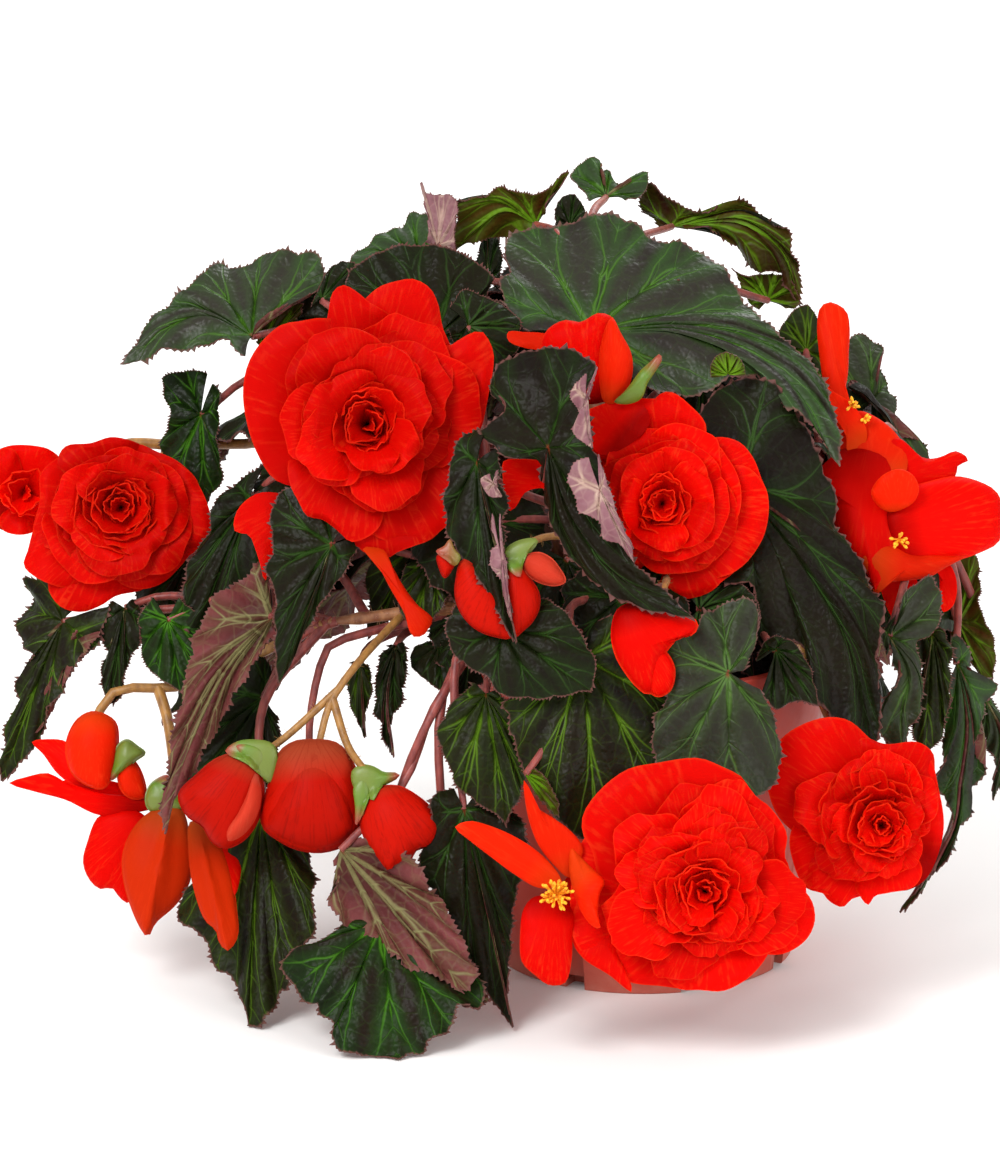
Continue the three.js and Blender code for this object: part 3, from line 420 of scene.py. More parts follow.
# Leaves that fill the plant out, each by its midrib: on, hub, tip, half widths, faces, upper finish.
SHADE_LEAVES = (
    (("stem_front", 0.6), read(476, 520, 66), read(528, 640, 62), (23, 22), (0, 0.2, 1), "dark"),
    (("stem_front", 0.5), read(566, 560, 72), read(604, 668, 76), (22, 22), (0.1, 0.2, 1), "dark"),
    (("stem_front", 0.35), read(620, 600, 84), read(640, 730, 88), (20, 22), (0, 0.2, 1), "dark"),
    (("stem_upper_left", 0.3), read(424, 540, 44), read(372, 632, 50), (15, 16),
     (-0.2, 0.2, 1), "olive"),
    (("stem_left", 0.2), read(480, 610, 56), read(462, 700, 66), (16, 16), (-0.1, 0.2, 1), "dark"),
    (("stem_right", 0.2), read(700, 550, 50), read(752, 672, 62), (24, 22), (0.1, 0.2, 1), "dark"),
    (("stem_right", 0.4), read(786, 460, 30), read(856, 570, 30), (22, 22), (0.2, 0.2, 1), "dark"),
    (("stem_right", 0.6), read(858, 510, 0), read(896, 650, 8), (22, 20), (0.3, 0.2, 1), "dark"),
    (("stem_right", 0.8), read(900, 560, -6), read(940, 690, 0), (18, 18), (0.4, 0.2, 1), "olive"),
    (("stem_upper_left", 0.5), read(238, 560, 14), read(212, 690, 20), (22, 24),
     (-0.2, 0.2, 1), "dark"),
    (("stem_upper_left", 0.9), read(188, 560, 6), read(158, 660, 14), (17, 17), (-0.3, 0.2, 1), "dark"),
    (("stem_top", 0.6), read(566, 300, 4), read(480, 400, 16), (24, 22), (-0.1, 0.4, 1), "dark"),
    (("stem_top", 0.5), read(700, 372, 14), read(800, 440, 4), (24, 24), (0.2, 0.4, 1), "dark"),
    (("stem_top", 0.4), read(600, 420, 36), read(526, 520, 56), (24, 22), (0, 0.3, 1), "dark"),
    (("stem_upper_left", 0.6), read(336, 320, 20), read(288, 420, 14), (22, 20),
     (-0.2, 0.3, 1), "dark"),
    (("stem_upper_left", 0.35), read(320, 470, 30), read(270, 560, 44), (20, 20),
     (-0.2, 0.3, 1), "dark"),
    (("stem_left", 0.3), read(560, 640, 30), read(590, 740, 60), (22, 22), (0, 0.2, 1), "dark"),
    (("stem_right", 0.9), from_pot(84, 40, 166), from_pot(98, 84, 122), (22, 22),
     (0.8, 0.3, -0.3), "dark"),
    (("stem_right", 0.5), from_pot(60, 34, 158), from_pot(100, 62, 116), (24, 24),
     (0.6, 0.4, -0.5), "vivid"),
    (("stem_right", 0.3), from_pot(44, 40, 132), from_pot(80, 82, 62), (24, 24),
     (0.5, 0.4, -0.7), "dark"),
    (("stem_top", 0.85), from_pot(-26, 58, 209), from_pot(-60, 98, 182), (24, 24),
     (-0.2, 0.8, -0.6), "dark"),
    (("stem_upper_left", 0.7), from_pot(-76, 30, 196), from_pot(-104, 80, 160), (26, 26),
     (-0.4, 0.7, -0.6), "grey"),
    (("stem_upper_left", 0.85), from_pot(-100, 24, 190), from_pot(-146, 54, 150), (24, 22),
     (-0.6, 0.6, -0.3), "dark"),
    (("stem_left", 0.6), from_pot(-84, 20, 130), from_pot(-128, 62, 70), (24, 24),
     (-0.6, 0.4, -0.6), "dark"),
    (("stem_left", 0.85), from_pot(-112, 8, 128), from_pot(-158, 30, 70), (22, 22),
     (-0.8, 0.3, -0.2), "olive"),
    (("stem_back", 0.4), from_pot(-40, 66, 132), from_pot(-66, 104, 62), (24, 24),
     (-0.3, 0.4, -0.8), "dark"),
    (("stem_back", 0.7), from_pot(24, 76, 172), from_pot(52, 106, 120), (24, 24),
     (0.3, 0.6, -0.8), "vivid"),
    (("stem_back", 0.85), from_pot(-44, 86, 182), from_pot(-56, 110, 126), (24, 24),
     (-0.2, 0.6, -0.8), "dark"),
    (("stem_right", 0.15), from_pot(58, -14, 130), from_pot(84, -12, 62), (20, 20),
     (0.9, 0.3, 0.2), "dark"),
    (("stem_right", 0.6), from_pot(92, 30, 140), from_pot(106, 40, 84), (18, 18),
     (0.8, 0.3, 0.3), "grey"),
)

# Flower heads. centre: where the head sits; depth: from its front to its back; heart: where the
# petals close; guards: the outermost petals, each by the points of its rim; tiers: rings of broad
# petals inside them, each as a share of the guards' reach and a count; inner: how many petals spiral
# out of the heart; full: how far out they come; cells: how finely they are cut; loose: how unevenly
# all of them lie; deep shade: a darker red over all the petals, painted shade; drawn: single petals,
# each by its whole edge, with its claw at base, the near of its claw and of its end, its bulge to the
# front, its back, the ridge along it and its look; tufts: stamens, as their place, near, spread and
# count. A head the viewer doesn't see has its width and length.
HEADS = {
    "flower_great": dict(
        deep_shade=True, on=("stem_upper_left", 0.98), centre=(-91, 175, 84), faces=(-0.05, 0.1, 1), depth=36,
        heart=(368, 424), tiers=((0.76, 9), (0.64, 11), (0.5, 10)), inner=24, full=0.42, loose=0.8,
        guards=[[(322, 318), (301, 321), (281, 325), (259, 345), (247, 367), (243, 396), (249, 431),
                (259, 457), (274, 479), (294, 487)],
            [(326, 322), (333, 292), (343, 285), (356, 291), (368, 301)],
            [(360, 304), (379, 287), (397, 281), (414, 279), (430, 288), (438, 303), (443, 328),
                (452, 350)],
            [(448, 346), (465, 336), (481, 331), (489, 340), (494, 356), (489, 393), (481, 431),
                (470, 463), (462, 487)],
            [(472, 468), (462, 492), (458, 516), (443, 529), (427, 541), (401, 544)],
            [(436, 536), (414, 546), (396, 553), (387, 559), (374, 557), (358, 548), (345, 537)],
            [(352, 542), (338, 531), (323, 520), (307, 516), (298, 500), (290, 484)]],
        drawn=[dict(base=(372, 545), near=(80, 90), look=1, bulge=2.5, edge=[(362, 548), (374, 559),
                    (390, 588), (405, 615), (409, 630), (414, 637), (424, 635), (429, 628), (433, 619),
                    (417, 604), (403, 585), (392, 565), (384, 550)]),
            dict(base=(320, 500), near=(70, 72), edge=[(310, 505), (278, 493), (259, 493), (243, 503),
                    (235, 516), (235, 531), (249, 535), (255, 548), (261, 567), (265, 581), (272, 561),
                    (280, 540), (305, 525)])]),
    "flower_far_left": dict(
        deep_shade=True, on=("stem_upper_left", 0.88), via=[(-129, 167, 8), (-158, 164, 0)],
        centre=(-175, 141, 30), faces=(-0.2, 0.1, 1), depth=28, heart=(121, 507), tiers=((0.84, 7),
            (0.7, 7)), inner=22, full=0.56, loose=0.35,
        guards=[[(34, 536), (40, 500), (41, 473), (61, 455), (70, 448)],
            [(58, 458), (66, 446), (91, 443), (111, 437), (129, 440), (146, 448)],
            [(138, 444), (156, 451), (179, 462), (199, 485)],
            [(190, 472), (199, 485), (208, 505), (213, 532), (204, 546), (189, 553)],
            [(197, 549), (189, 556), (181, 566), (161, 584), (136, 589)],
            [(146, 588), (116, 596), (102, 605), (82, 612), (61, 607), (49, 591), (48, 578)],
            [(50, 584), (24, 566), (28, 550), (32, 534), (38, 516)]]),
    "flower_left_rear": dict(
        on=("flower_far_left", 0.72), centre=(-203, 152, 2), faces=(-0.7, 0.1, 0.6), depth=18,
        heart=(24, 492), inner=6,
        guards=[[(2, 448), (-8, 458), (-13, 480), (-13, 505), (-8, 522), (2, 530)],
            [(-4, 452), (8, 446), (28, 445), (48, 449), (60, 458), (62, 474)],
            [(60, 468), (58, 494), (48, 520), (28, 534), (4, 531)]]),
    "flower_centre": dict(
        on=("stem_front", 0.98), centre=(8, 149, 84), faces=(0.05, 0.05, 1), depth=28, heart=(663, 503),
        tiers=((0.82, 7), (0.68, 7), (0.56, 6)), inner=20, full=0.44, loose=0.15,
        guards=[[(598, 446), (606, 425), (618, 402), (635, 398), (657, 398), (661, 393), (672, 392),
                (690, 405)],
            [(672, 393), (686, 402), (698, 413), (705, 429), (704, 441), (712, 452)],
            [(700, 440), (723, 437), (741, 443), (754, 459), (761, 477), (768, 499)],
            [(764, 484), (769, 505), (765, 533), (757, 549), (744, 565), (725, 576)],
            [(736, 570), (722, 581), (717, 587), (704, 595), (680, 599), (656, 590), (640, 580)],
            [(650, 588), (626, 560), (606, 525), (594, 490), (592, 450)]],
        drawn=[dict(base=(575, 482), near=(90, 96), edge=[(575, 465), (538, 460), (520, 459),
                    (504, 461), (503, 480), (505, 498), (508, 511), (515, 508), (526, 492), (545, 488),
                    (575, 496)]),
            dict(base=(620, 440), near=(84, 78), edge=[(600, 455), (590, 440), (585, 413), (600, 405),
                    (618, 400), (640, 402), (650, 420), (636, 440)])]),
    "flower_right": dict(
        on=("stem_right", 0.9), centre=(88, 150, 36), faces=(0.7, 0.2, 0.7), depth=34,
        drawn=[dict(base=(850, 430), near=(38, 30), bulge=3, look=1, edge=[(832, 425), (824, 388),
                    (820, 360), (817, 327), (820, 308), (828, 302), (839, 305), (847, 312), (850, 330),
                    (849, 350), (848, 375), (845, 398), (856, 425)]),
            dict(base=(878, 440), near=(38, 50), bulge=6, edge=[(868, 446), (845, 448), (824, 464),
                    (813, 478), (830, 492), (834, 510), (835, 526), (850, 550), (866, 572), (876, 594),
                    (888, 584), (900, 560), (905, 520), (898, 480), (888, 455)]),
            dict(base=(890, 530), near=(48, 34), bulge=7, edge=[(890, 540), (886, 512), (900, 492),
                    (930, 481), (956, 476), (981, 482), (996, 491), (1003, 505), (1004, 528),
                    (998, 543), (982, 552), (958, 560), (925, 562), (900, 556)]),
            dict(base=(880, 545), near=(50, 44), bulge=3, look=1, edge=[(862, 556), (880, 545),
                    (915, 552), (950, 556), (966, 556), (945, 568), (930, 577), (905, 581), (886, 584),
                    (876, 595), (868, 574)]),
            dict(base=(880, 480), near=(40, 34), bulge=3, edge=[(880, 462), (886, 442), (899, 438),
                    (924, 458), (940, 457), (956, 451), (969, 460), (958, 466), (956, 476), (943, 486),
                    (920, 489), (896, 490)]),
            dict(base=(868, 480), near=(42, 34), bulge=2, look=1, edge=[(846, 462), (838, 430),
                    (846, 414), (862, 411), (876, 417), (890, 427), (901, 440), (908, 456), (902, 480),
                    (876, 492)]),
            dict(base=(900, 515), near=(52, 56), bulge=2.5, look=1, edge=[(878, 506), (871, 493),
                    (876, 482), (886, 473), (900, 469), (913, 475), (919, 488), (915, 501), (903, 509),
                    (890, 512)]),
            dict(base=(862, 436), near=(40, 44), look=1, edge=[(846, 436), (830, 408), (821, 385),
                    (834, 392), (850, 402), (861, 416), (867, 434), (862, 450), (848, 452)]),
            dict(base=(890, 570), near=(42, 38), edge=[(880, 575), (884, 600), (894, 618), (906, 600),
                    (918, 590), (912, 570), (896, 560)]),
            dict(base=(930, 560), near=(34, 32), edge=[(925, 555), (938, 572), (940, 590), (943, 612),
                    (953, 606), (957, 590), (955, 574), (945, 560)])],
        tufts=[((852, 405), 42, 3.0, 12), ((864, 419), 40, 2.0, 5), ((899, 540), 56, 4.0, 12)]),
    "flower_low": dict(
        on=("stem_front", 0.55), via=[(16, 96, 92), (16, 66, 94), (17, 40, 98)], centre=(18, 22, 126),
        faces=(0.05, 0.1, 1), depth=26, heart=(706, 892), tiers=((0.78, 16), (0.66, 17), (0.52, 15)),
        inner=26, full=0.44, loose=0.9,
        guards=[[(592, 850), (583, 834), (583, 815), (600, 790), (628, 769), (656, 763), (699, 758),
                (723, 767), (743, 778), (752, 795)],
            [(738, 778), (758, 798), (769, 806), (787, 834), (785, 856), (790, 872)],
            [(778, 868), (801, 887), (812, 901), (815, 921), (806, 940), (783, 954), (759, 954)],
            [(770, 950), (755, 972), (741, 983), (723, 991), (700, 990), (677, 988)],
            [(690, 988), (660, 986), (629, 982), (600, 965), (580, 950), (571, 926)],
            [(576, 940), (570, 905), (574, 870), (583, 840)]],
        drawn=[dict(base=(625, 900), near=(118, 124), bulge=2, edge=[(600, 905), (573, 924), (573, 943),
                    (584, 959), (609, 975), (632, 992), (627, 972), (618, 952), (624, 925),
                    (622, 905)])]),
    "flower_low_right": dict(
        on=("stem_right", 0.5), via=[(52, 100, 72), (66, 66, 70)], centre=(73, 43, 92),
        faces=(0.2, 0, 1), depth=26, heart=(882, 826), tiers=((0.72, 14), (0.6, 14)), inner=24,
        full=0.5, loose=0.8,
        guards=[[(800, 838), (778, 816), (768, 790), (768, 764), (780, 740), (801, 725), (829, 717),
                (850, 721), (872, 740)],
            [(862, 738), (886, 744), (918, 742), (933, 753), (935, 772)],
            [(928, 756), (939, 790), (944, 824), (939, 852), (925, 880), (903, 891)],
            [(915, 886), (888, 893), (875, 896), (868, 905), (858, 893), (850, 880)],
            [(862, 896), (852, 899), (843, 907), (829, 901), (820, 890), (808, 887)],
            [(818, 892), (805, 887), (793, 862), (790, 836)]]),
    "flower_top": dict(
        on=("stem_top", 0.72), via=[(-22, 192, 40)], centre=(-23, 196, 78), faces=(-0.1, 0.4, 0.9),
        depth=20,
        drawn=[dict(base=(590, 398), near=(74, 80), bulge=6, edge=[(560, 392), (545, 362), (541, 343),
                    (548, 329), (565, 320), (581, 322), (598, 313), (612, 317), (618, 340), (614, 370),
                    (606, 400), (584, 404)]),
            dict(base=(608, 404), near=(80, 84), bulge=5, look=1, edge=[(600, 388), (599, 358),
                    (604, 332), (612, 317), (621, 333), (631, 352), (633, 371), (627, 391), (616, 404),
                    (604, 402)]),
            dict(base=(590, 400), near=(72, 66), bulge=4, edge=[(570, 396), (552, 370), (558, 340),
                    (590, 330), (618, 345), (622, 375), (612, 400)]),
            dict(base=(560, 350), near=(66, 64), look=1, edge=[(556, 362), (541, 351), (525, 348),
                    (508, 340), (508, 332), (524, 332), (542, 333), (560, 338)]),
            dict(base=(622, 402), near=(84, 88), bulge=3, look=3, edge=[(614, 402), (624, 392),
                    (632, 382), (640, 371), (650, 362), (660, 354), (662, 359), (656, 371), (648, 383),
                    (642, 398), (630, 404)])]),
    "flower_back": dict(
        on=("stem_back", 0.85), via=[from_pot(-50, 84, 172)], centre=from_pot(-80, 96, 160),
        faces=(-0.5, 0.4, -0.8), width=56, length=56, depth=26, inner=38),
    "flower_pendant_left": dict(
        on=("stem_left", 0.98), via=[(-154, 86, 30), (-176, 84, 32)], centre=(-186, 68, 38),
        faces=(-0.3, -0.5, 0.8), depth=18,
        drawn=[dict(base=(98, 716), near=(42, 44), bulge=7, back=7, look=1, edge=[(67, 742), (75, 723),
                    (84, 715), (95, 712), (115, 722), (118, 747), (115, 767), (104, 788), (90, 786),
                    (75, 776), (68, 762)]),
            dict(base=(92, 780), near=(40, 30), bulge=2, edge=[(32, 742), (49, 739), (67, 742),
                    (82, 765), (98, 788), (72, 784), (57, 773), (43, 754)]),
            dict(base=(135, 802), near=(40, 48), bulge=1.5, edge=[(9, 783), (26, 777), (48, 773),
                    (66, 782), (95, 792), (130, 796), (166, 805), (140, 812), (118, 817), (95, 814),
                    (66, 800), (36, 792)]),
            dict(base=(135, 800), near=(36, 38), bulge=2, edge=[(60, 784), (84, 775), (108, 780),
                    (128, 786), (148, 800), (120, 806), (86, 800)]),
            dict(base=(128, 760), near=(46, 44), bulge=4, back=3, look=3, edge=[(110, 780), (114, 762),
                    (118, 746), (127, 740), (138, 747), (145, 753), (136, 760), (124, 770)]),
            dict(base=(128, 758), near=(44, 42), bulge=4, back=4, look=1, edge=[(118, 772), (122, 762),
                    (131, 759), (141, 772), (145, 796), (132, 798), (122, 790)])]),
    "flower_hanging": dict(
        on=("flower_pendant_left", 0.7), centre=(-156, 46, 44), faces=(-0.1, -0.3, 1), depth=22,
        drawn=[dict(base=(160, 808), near=(42, 38), bulge=4, edge=[(140, 812), (118, 812), (99, 816),
                    (87, 843), (83, 862), (89, 879), (100, 889), (112, 888), (120, 898), (128, 903),
                    (146, 880), (160, 840)]),
            dict(base=(172, 808), near=(46, 50), bulge=5, back=2, look=2, ridge=2.5, edge=[(178, 804),
                    (149, 813), (131, 833), (123, 856), (125, 885), (132, 908), (141, 928), (148, 937),
                    (154, 924), (175, 905), (188, 885), (193, 860), (189, 833), (184, 813)]),
            dict(base=(195, 818), near=(50, 86), bulge=4, back=2, look=2, ridge=2, edge=[(190, 822),
                    (201, 820), (212, 838), (224, 851), (231, 874), (236, 908), (237, 937), (227, 950),
                    (220, 942), (217, 930), (206, 920), (197, 897), (191, 870), (189, 845)]),
            dict(base=(205, 822), near=(48, 72), bulge=3, edge=[(206, 830), (224, 842), (234, 846),
                    (241, 862), (239, 885), (234, 896), (222, 885), (208, 855)]),
            dict(base=(160, 800), near=(46, 45), bulge=3, back=3, look=3, edge=[(146, 800), (150, 786),
                    (160, 778), (168, 776), (176, 790), (182, 808), (164, 812), (150, 810)])]),
    # The single male flower: broad petals round a tuft of stamens.
    "flower_single": dict(
        on=("flower_low", 0.8), via=[(-14, 28, 108)], centre=(-29, 17, 120), faces=(-0.1, 0.15, 1),
        depth=10,
        drawn=[dict(base=(556, 886), near=(120, 128), bulge=2, look=1, edge=[(455, 827), (469, 821),
                    (488, 825), (514, 836), (536, 850), (556, 870), (562, 884), (539, 888), (514, 874),
                    (491, 857), (469, 840)]),
            dict(base=(562, 884), near=(120, 126), bulge=2, look=1, edge=[(524, 780), (529, 787),
                    (536, 806), (552, 817), (571, 831), (583, 848), (579, 863), (570, 878), (555, 866),
                    (539, 846), (530, 824), (525, 800)]),
            dict(base=(566, 892), near=(122, 132), bulge=3, ridge=1.5, look=1, edge=[(571, 845),
                    (581, 857), (597, 873), (605, 882), (600, 894), (598, 912), (600, 929), (590, 924),
                    (578, 905), (572, 886), (569, 865)]),
            dict(base=(556, 894), near=(119, 124), bulge=3, edge=[(536, 896), (524, 908), (520, 936),
                    (522, 962), (536, 976), (549, 985), (565, 983), (571, 966), (573, 936), (574, 915),
                    (566, 902)]),
            dict(base=(566, 892), near=(117, 112), edge=[(562, 884), (580, 870), (600, 868), (612, 882),
                    (606, 905), (584, 915), (566, 904)])],
        tufts=[((556, 895), 126, 6.5, 44)]),
}

# Buds. neck: where the stalk comes in; near: how near the bud stands; shells: closed petals, each
# bulging to the front and the back; lobes: the points of the calyx, which lie on the shells.
BUDS = {
    "bud_middle": dict(
        on=("stem_left", 0.74), via=[(-96, 92, 74), (-104, 80, 78), (-108, 66, 82)], neck=(314, 752),
        near=84,
        shells=[dict(bulge=9, edge=[(310, 740), (294, 742), (280, 752), (274, 770), (266, 795),
                    (261, 812), (264, 828), (277, 839), (297, 849), (322, 852), (345, 845), (358, 833),
                    (362, 806), (359, 780), (350, 757), (336, 743)]),
            dict(bulge=11, edge=[(314, 753), (296, 758), (282, 775), (270, 800), (264, 822), (272, 834),
                    (297, 847), (322, 850), (346, 842), (357, 828), (355, 800), (345, 775),
                    (330, 758)])]),
    "bud_left": dict(
        on=("bud_middle", 0.62), via=[(-120, 68, 78)], neck=(256, 757), near=84,
        shells=[dict(bulge=8, edge=[(179, 795), (198, 774), (215, 760), (232, 754), (250, 758),
                    (261, 776), (263, 802), (256, 824), (242, 841), (224, 848), (212, 841), (203, 826),
                    (188, 816)]),
            dict(bulge=9.5, look=3, edge=[(256, 770), (262, 788), (261, 806), (253, 825), (240, 839),
                    (226, 844), (222, 836), (234, 815), (246, 792)])],
        lobes=[[(226, 752), (237, 743), (255, 741), (272, 745), (278, 760), (271, 783), (259, 774),
                (247, 764)],
            [(236, 746), (247, 744), (262, 750), (264, 762), (256, 770), (243, 758)]]),
    "bud_right": dict(
        on=("bud_middle", 0.68), via=[(-98, 66, 84)], neck=(366, 772), near=92,
        shells=[dict(bulge=8, edge=[(374, 790), (396, 786), (414, 794), (433, 811), (438, 828),
                    (430, 845), (416, 850), (408, 863), (396, 865), (389, 872), (378, 859), (363, 833),
                    (361, 814)])],
        lobes=[[(353, 772), (362, 766), (373, 768), (384, 774), (399, 775), (383, 785), (372, 801),
                (365, 790), (356, 788)],
            [(354, 786), (364, 778), (370, 792), (366, 806), (356, 826), (355, 806)]]),
    "bud_centre": dict(
        on=("stem_front", 0.7), via=[(-30, 136, 96)], neck=(515, 550), near=111,
        shells=[dict(bulge=5, edge=[(463, 560), (457, 577), (456, 597), (463, 615), (477, 629),
                    (495, 636), (511, 637), (508, 610), (494, 588), (476, 568)]),
            dict(bulge=6, edge=[(508, 560), (520, 566), (530, 579), (538, 592), (539, 606), (533, 620),
                    (522, 631), (512, 638), (504, 620), (500, 590), (502, 570)]),
            dict(bulge=4, look=3, edge=[(524, 558), (538, 553), (550, 558), (558, 567), (565, 581),
                    (556, 585), (540, 582), (527, 573)]),
            dict(bulge=3, edge=[(438, 556), (446, 555), (454, 562), (451, 570), (445, 577),
                    (440, 568)])],
        lobes=[[(503, 558), (508, 549), (517, 543), (528, 540), (537, 540), (530, 550), (524, 562),
                (520, 577), (511, 572)],
            [(436, 551), (444, 546), (450, 539), (455, 549), (461, 557), (455, 566), (446, 560)]]),
    "bud_low": dict(
        on=("stem_front", 0.62), via=[(6, 118, 100)], neck=(625, 610), near=112,
        shells=[dict(bulge=4, look=4, edge=[(648, 640), (662, 648), (674, 668), (670, 690), (657, 696),
                    (646, 684)]),
            dict(bulge=6, look=4, edge=[(618, 610), (634, 603), (655, 611), (697, 622), (694, 633),
                    (676, 640), (662, 658), (656, 676), (649, 694), (640, 689), (629, 677), (616, 655),
                    (612, 632)])]),
}


# ---- settings a user would change ---------------------------------------------------------------

def colour_setting(name, hex_colour, description):
    """A colour that a user may change, given as sRGB hex."""
    return FloatVectorProperty(
        name=name, description=description, subtype="COLOR", size=4, min=0, max=1,
        default=linear(hex_colour))


def linear(hex_colour):
    """An sRGB hex colour as the linear colour that a shader reads."""
    channels = [int(hex_colour[i:i + 2], 16) / 255 for i in (1, 3, 5)]
    return [c / 12.92 if c <= 0.04045 else ((c + 0.055) / 1.055) ** 2.4 for c in channels] + [1.0]


def shade(colour):
    """The linear colour of a hex colour or of a setting."""
    return linear(colour) if isinstance(colour, str) else list(colour)


class BegoniaSizes(bpy.types.PropertyGroup):
    tooth: FloatProperty(
        name="Leaf tooth", description="Height of the teeth on a leaf's edge, in mm", default=1.2, min=0)
    blade: FloatProperty(
        name="Blade thickness", description="Thickness of a leaf blade, in mm", default=0.45, min=0.1)
    petal: FloatProperty(
        name="Petal thickness", description="Thickness of a petal, in mm", default=0.4, min=0.1)
    petiole: FloatProperty(
        name="Leaf stalk radius", description="Radius of a leaf stalk, in mm", default=1.5, min=0.2)
    stem_low: FloatProperty(
        name="Stem radius at the tuber", description="Radius of a stem where it sprouts, in mm",
        default=4.0, min=0.5)
    stem_high: FloatProperty(
        name="Stem radius at the end", description="Radius of a stem at its end, in mm",
        default=2.2, min=0.5)
    crumbs: IntProperty(
        name="Soil crumbs", description="How many loose crumbs lie on the soil", default=150, min=0)


class BegoniaColours(bpy.types.PropertyGroup):
    petal: colour_setting("Petal", "#f20a02", "The open petals' scarlet")
    # The rim colour is partly the petal's own and partly a painted glow of light through the thin edge.
    petal_rim: colour_setting("Petal rim", "#ff4a1c", "The lighter rim of each petal")
    leaf: colour_setting("Leaf", "#19140b", "The dark tissue of a leaf's upper side")
    vein: colour_setting("Vein", "#42761a", "The brightest veins on the upper side")
    pot: colour_setting("Pot", "#b23a2a", "The pot's plastic")


# ---- building helpers ---------------------------------------------------------------------------

WELD = 1e-3  # millimetres within which two vertices are one
CURVE_CUTS = 24
FULL_TURN = 2 * math.pi
PHASES = (0, 6.28)  # where a wave may start


def mesh_of(bm, name):
    """A bmesh as a mesh, after which the bmesh is gone."""
    mesh = bpy.data.meshes.new(name)
    bm.to_mesh(mesh)
    bm.free()
    return mesh


def placed(name, data):
    """A new object in the scene for a mesh, a light or a camera."""
    made = bpy.data.objects.new(name, data)
    bpy.context.scene.collection.objects.link(made)
    return made


def finish_piece(bm, name, materials, replaced=(), crease=50):
    """Scales a bmesh to metres, makes it a piece in the pot's body, and hides the imported parts that it
    replaces.
    """
    bmesh.ops.scale(bm, vec=(MM, MM, MM), verts=bm.verts)
    for face in bm.faces:
        face.smooth = True
    for edge in bm.edges:
        if edge.is_manifold and edge.calc_face_angle(0) > math.radians(crease):
            edge.smooth = False
    piece = placed(name, mesh_of(bm, name))
    for material in materials:
        piece.data.materials.append(material)
    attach(piece, BODY)
    if replaced:
        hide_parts(*replaced)
    return piece


def fresh_mesh():
    """An empty bmesh with the two layers that the plant's materials read."""
    bm = bmesh.new()
    bm.verts.layers.float_vector.new("vein")
    bm.verts.layers.float_vector.new("place")
    return bm


def plant_layers(bm):
    """The two layers of a fresh mesh: where the veins are, and where on the blade or petal."""
    layers = bm.verts.layers.float_vector
    return layers["vein"], layers["place"]


def scaled(place, sizes):
    """A place stretched along each axis."""
    return Vector([part * size for part, size in zip(place, sizes)])


def sheet(bm, columns, rows):
    """The vertices of a flat grid to be shaped, whose x and y run from -0.5 to 0.5."""
    return bmesh.ops.create_grid(bm, x_segments=columns, y_segments=rows, size=0.5)["verts"]


def faces_round(verts):
    """The faces that meet some vertices, each once and always in the same order."""
    return list(dict.fromkeys(face for vert in verts for face in vert.link_faces))


def paint(faces, slot):
    """Gives faces a material slot."""
    for face in faces:
        face.material_index = slot


def weld(bm, verts):
    """Makes vertices in the same place one."""
    bmesh.ops.remove_doubles(bm, verts=verts, dist=WELD)


def thicken(bm, faces, thickness, slot):
    """Closes a sheet of faces into a thin solid whose far side has the given material slot."""
    bm.normal_update()
    verts = dict.fromkeys(vert for face in faces for vert in face.verts)
    twin = {vert: bm.verts.new(vert.co - vert.normal * thickness, vert) for vert in verts}
    for face in faces:
        corners = list(face.verts)
        back = bm.faces.new([twin[vert] for vert in reversed(corners)])
        back.material_index = slot
        for a, b, edge in zip(corners, corners[1:] + corners[:1], face.edges):
            if edge.is_boundary:
                bm.faces.new((b, a, twin[a], twin[b])).material_index = face.material_index


def close_sheet(bm, verts, thickness, front, back):
    """Welds a shaped sheet's seam and middle and thickens it, with a material slot for each side."""
    faces = faces_round(verts)
    weld(bm, verts)
    faces = [face for face in faces if face.is_valid]
    paint(faces, front)
    thicken(bm, faces, thickness, back)


def smooth_curve(points, steps, closed=False):
    """Evenly spaced points on a centripetal Catmull-Rom curve through the given ones."""
    if closed:
        ends = [points[-1], *points, points[0], points[1]]
    else:
        ends = [points[0] * 2 - points[1], *points, points[-1] * 2 - points[-2]]
    dense = []
    for a, b, c, d in zip(ends, ends[1:], ends[2:], ends[3:]):
        ab, bc, cd = (max((q - p).length ** 0.5, 1e-4) for p, q in ((a, b), (b, c), (c, d)))
        leave = ((b - a) / ab - (c - a) / (ab + bc) + (c - b) / bc) * bc
        reach = ((c - b) / bc - (d - b) / (bc + cd) + (d - c) / cd) * bc
        for k in range(CURVE_CUTS):
            t = k / CURVE_CUTS
            t2, t3 = t * t, t * t * t
            dense.append(
                b * (2 * t3 - 3 * t2 + 1) + leave * (t3 - 2 * t2 + t)
                + c * (3 * t2 - 2 * t3) + reach * (t3 - t2))
    dense.append(ends[-2])
    return respaced(dense, steps)


def respaced(dense, steps):
    """The same polyline with steps + 1 evenly spaced points."""
    runs = [0.0]
    for a, b in zip(dense, dense[1:]):
        runs.append(runs[-1] + (b - a).length)
    found, at = [], 0
    for k in range(steps + 1):
        goal = runs[-1] * k / steps
        while at < len(runs) - 2 and runs[at + 1] < goal:
            at += 1
        span = runs[at + 1] - runs[at]
        found.append(dense[at].lerp(dense[at + 1], (goal - runs[at]) / span if span else 0))
    return found


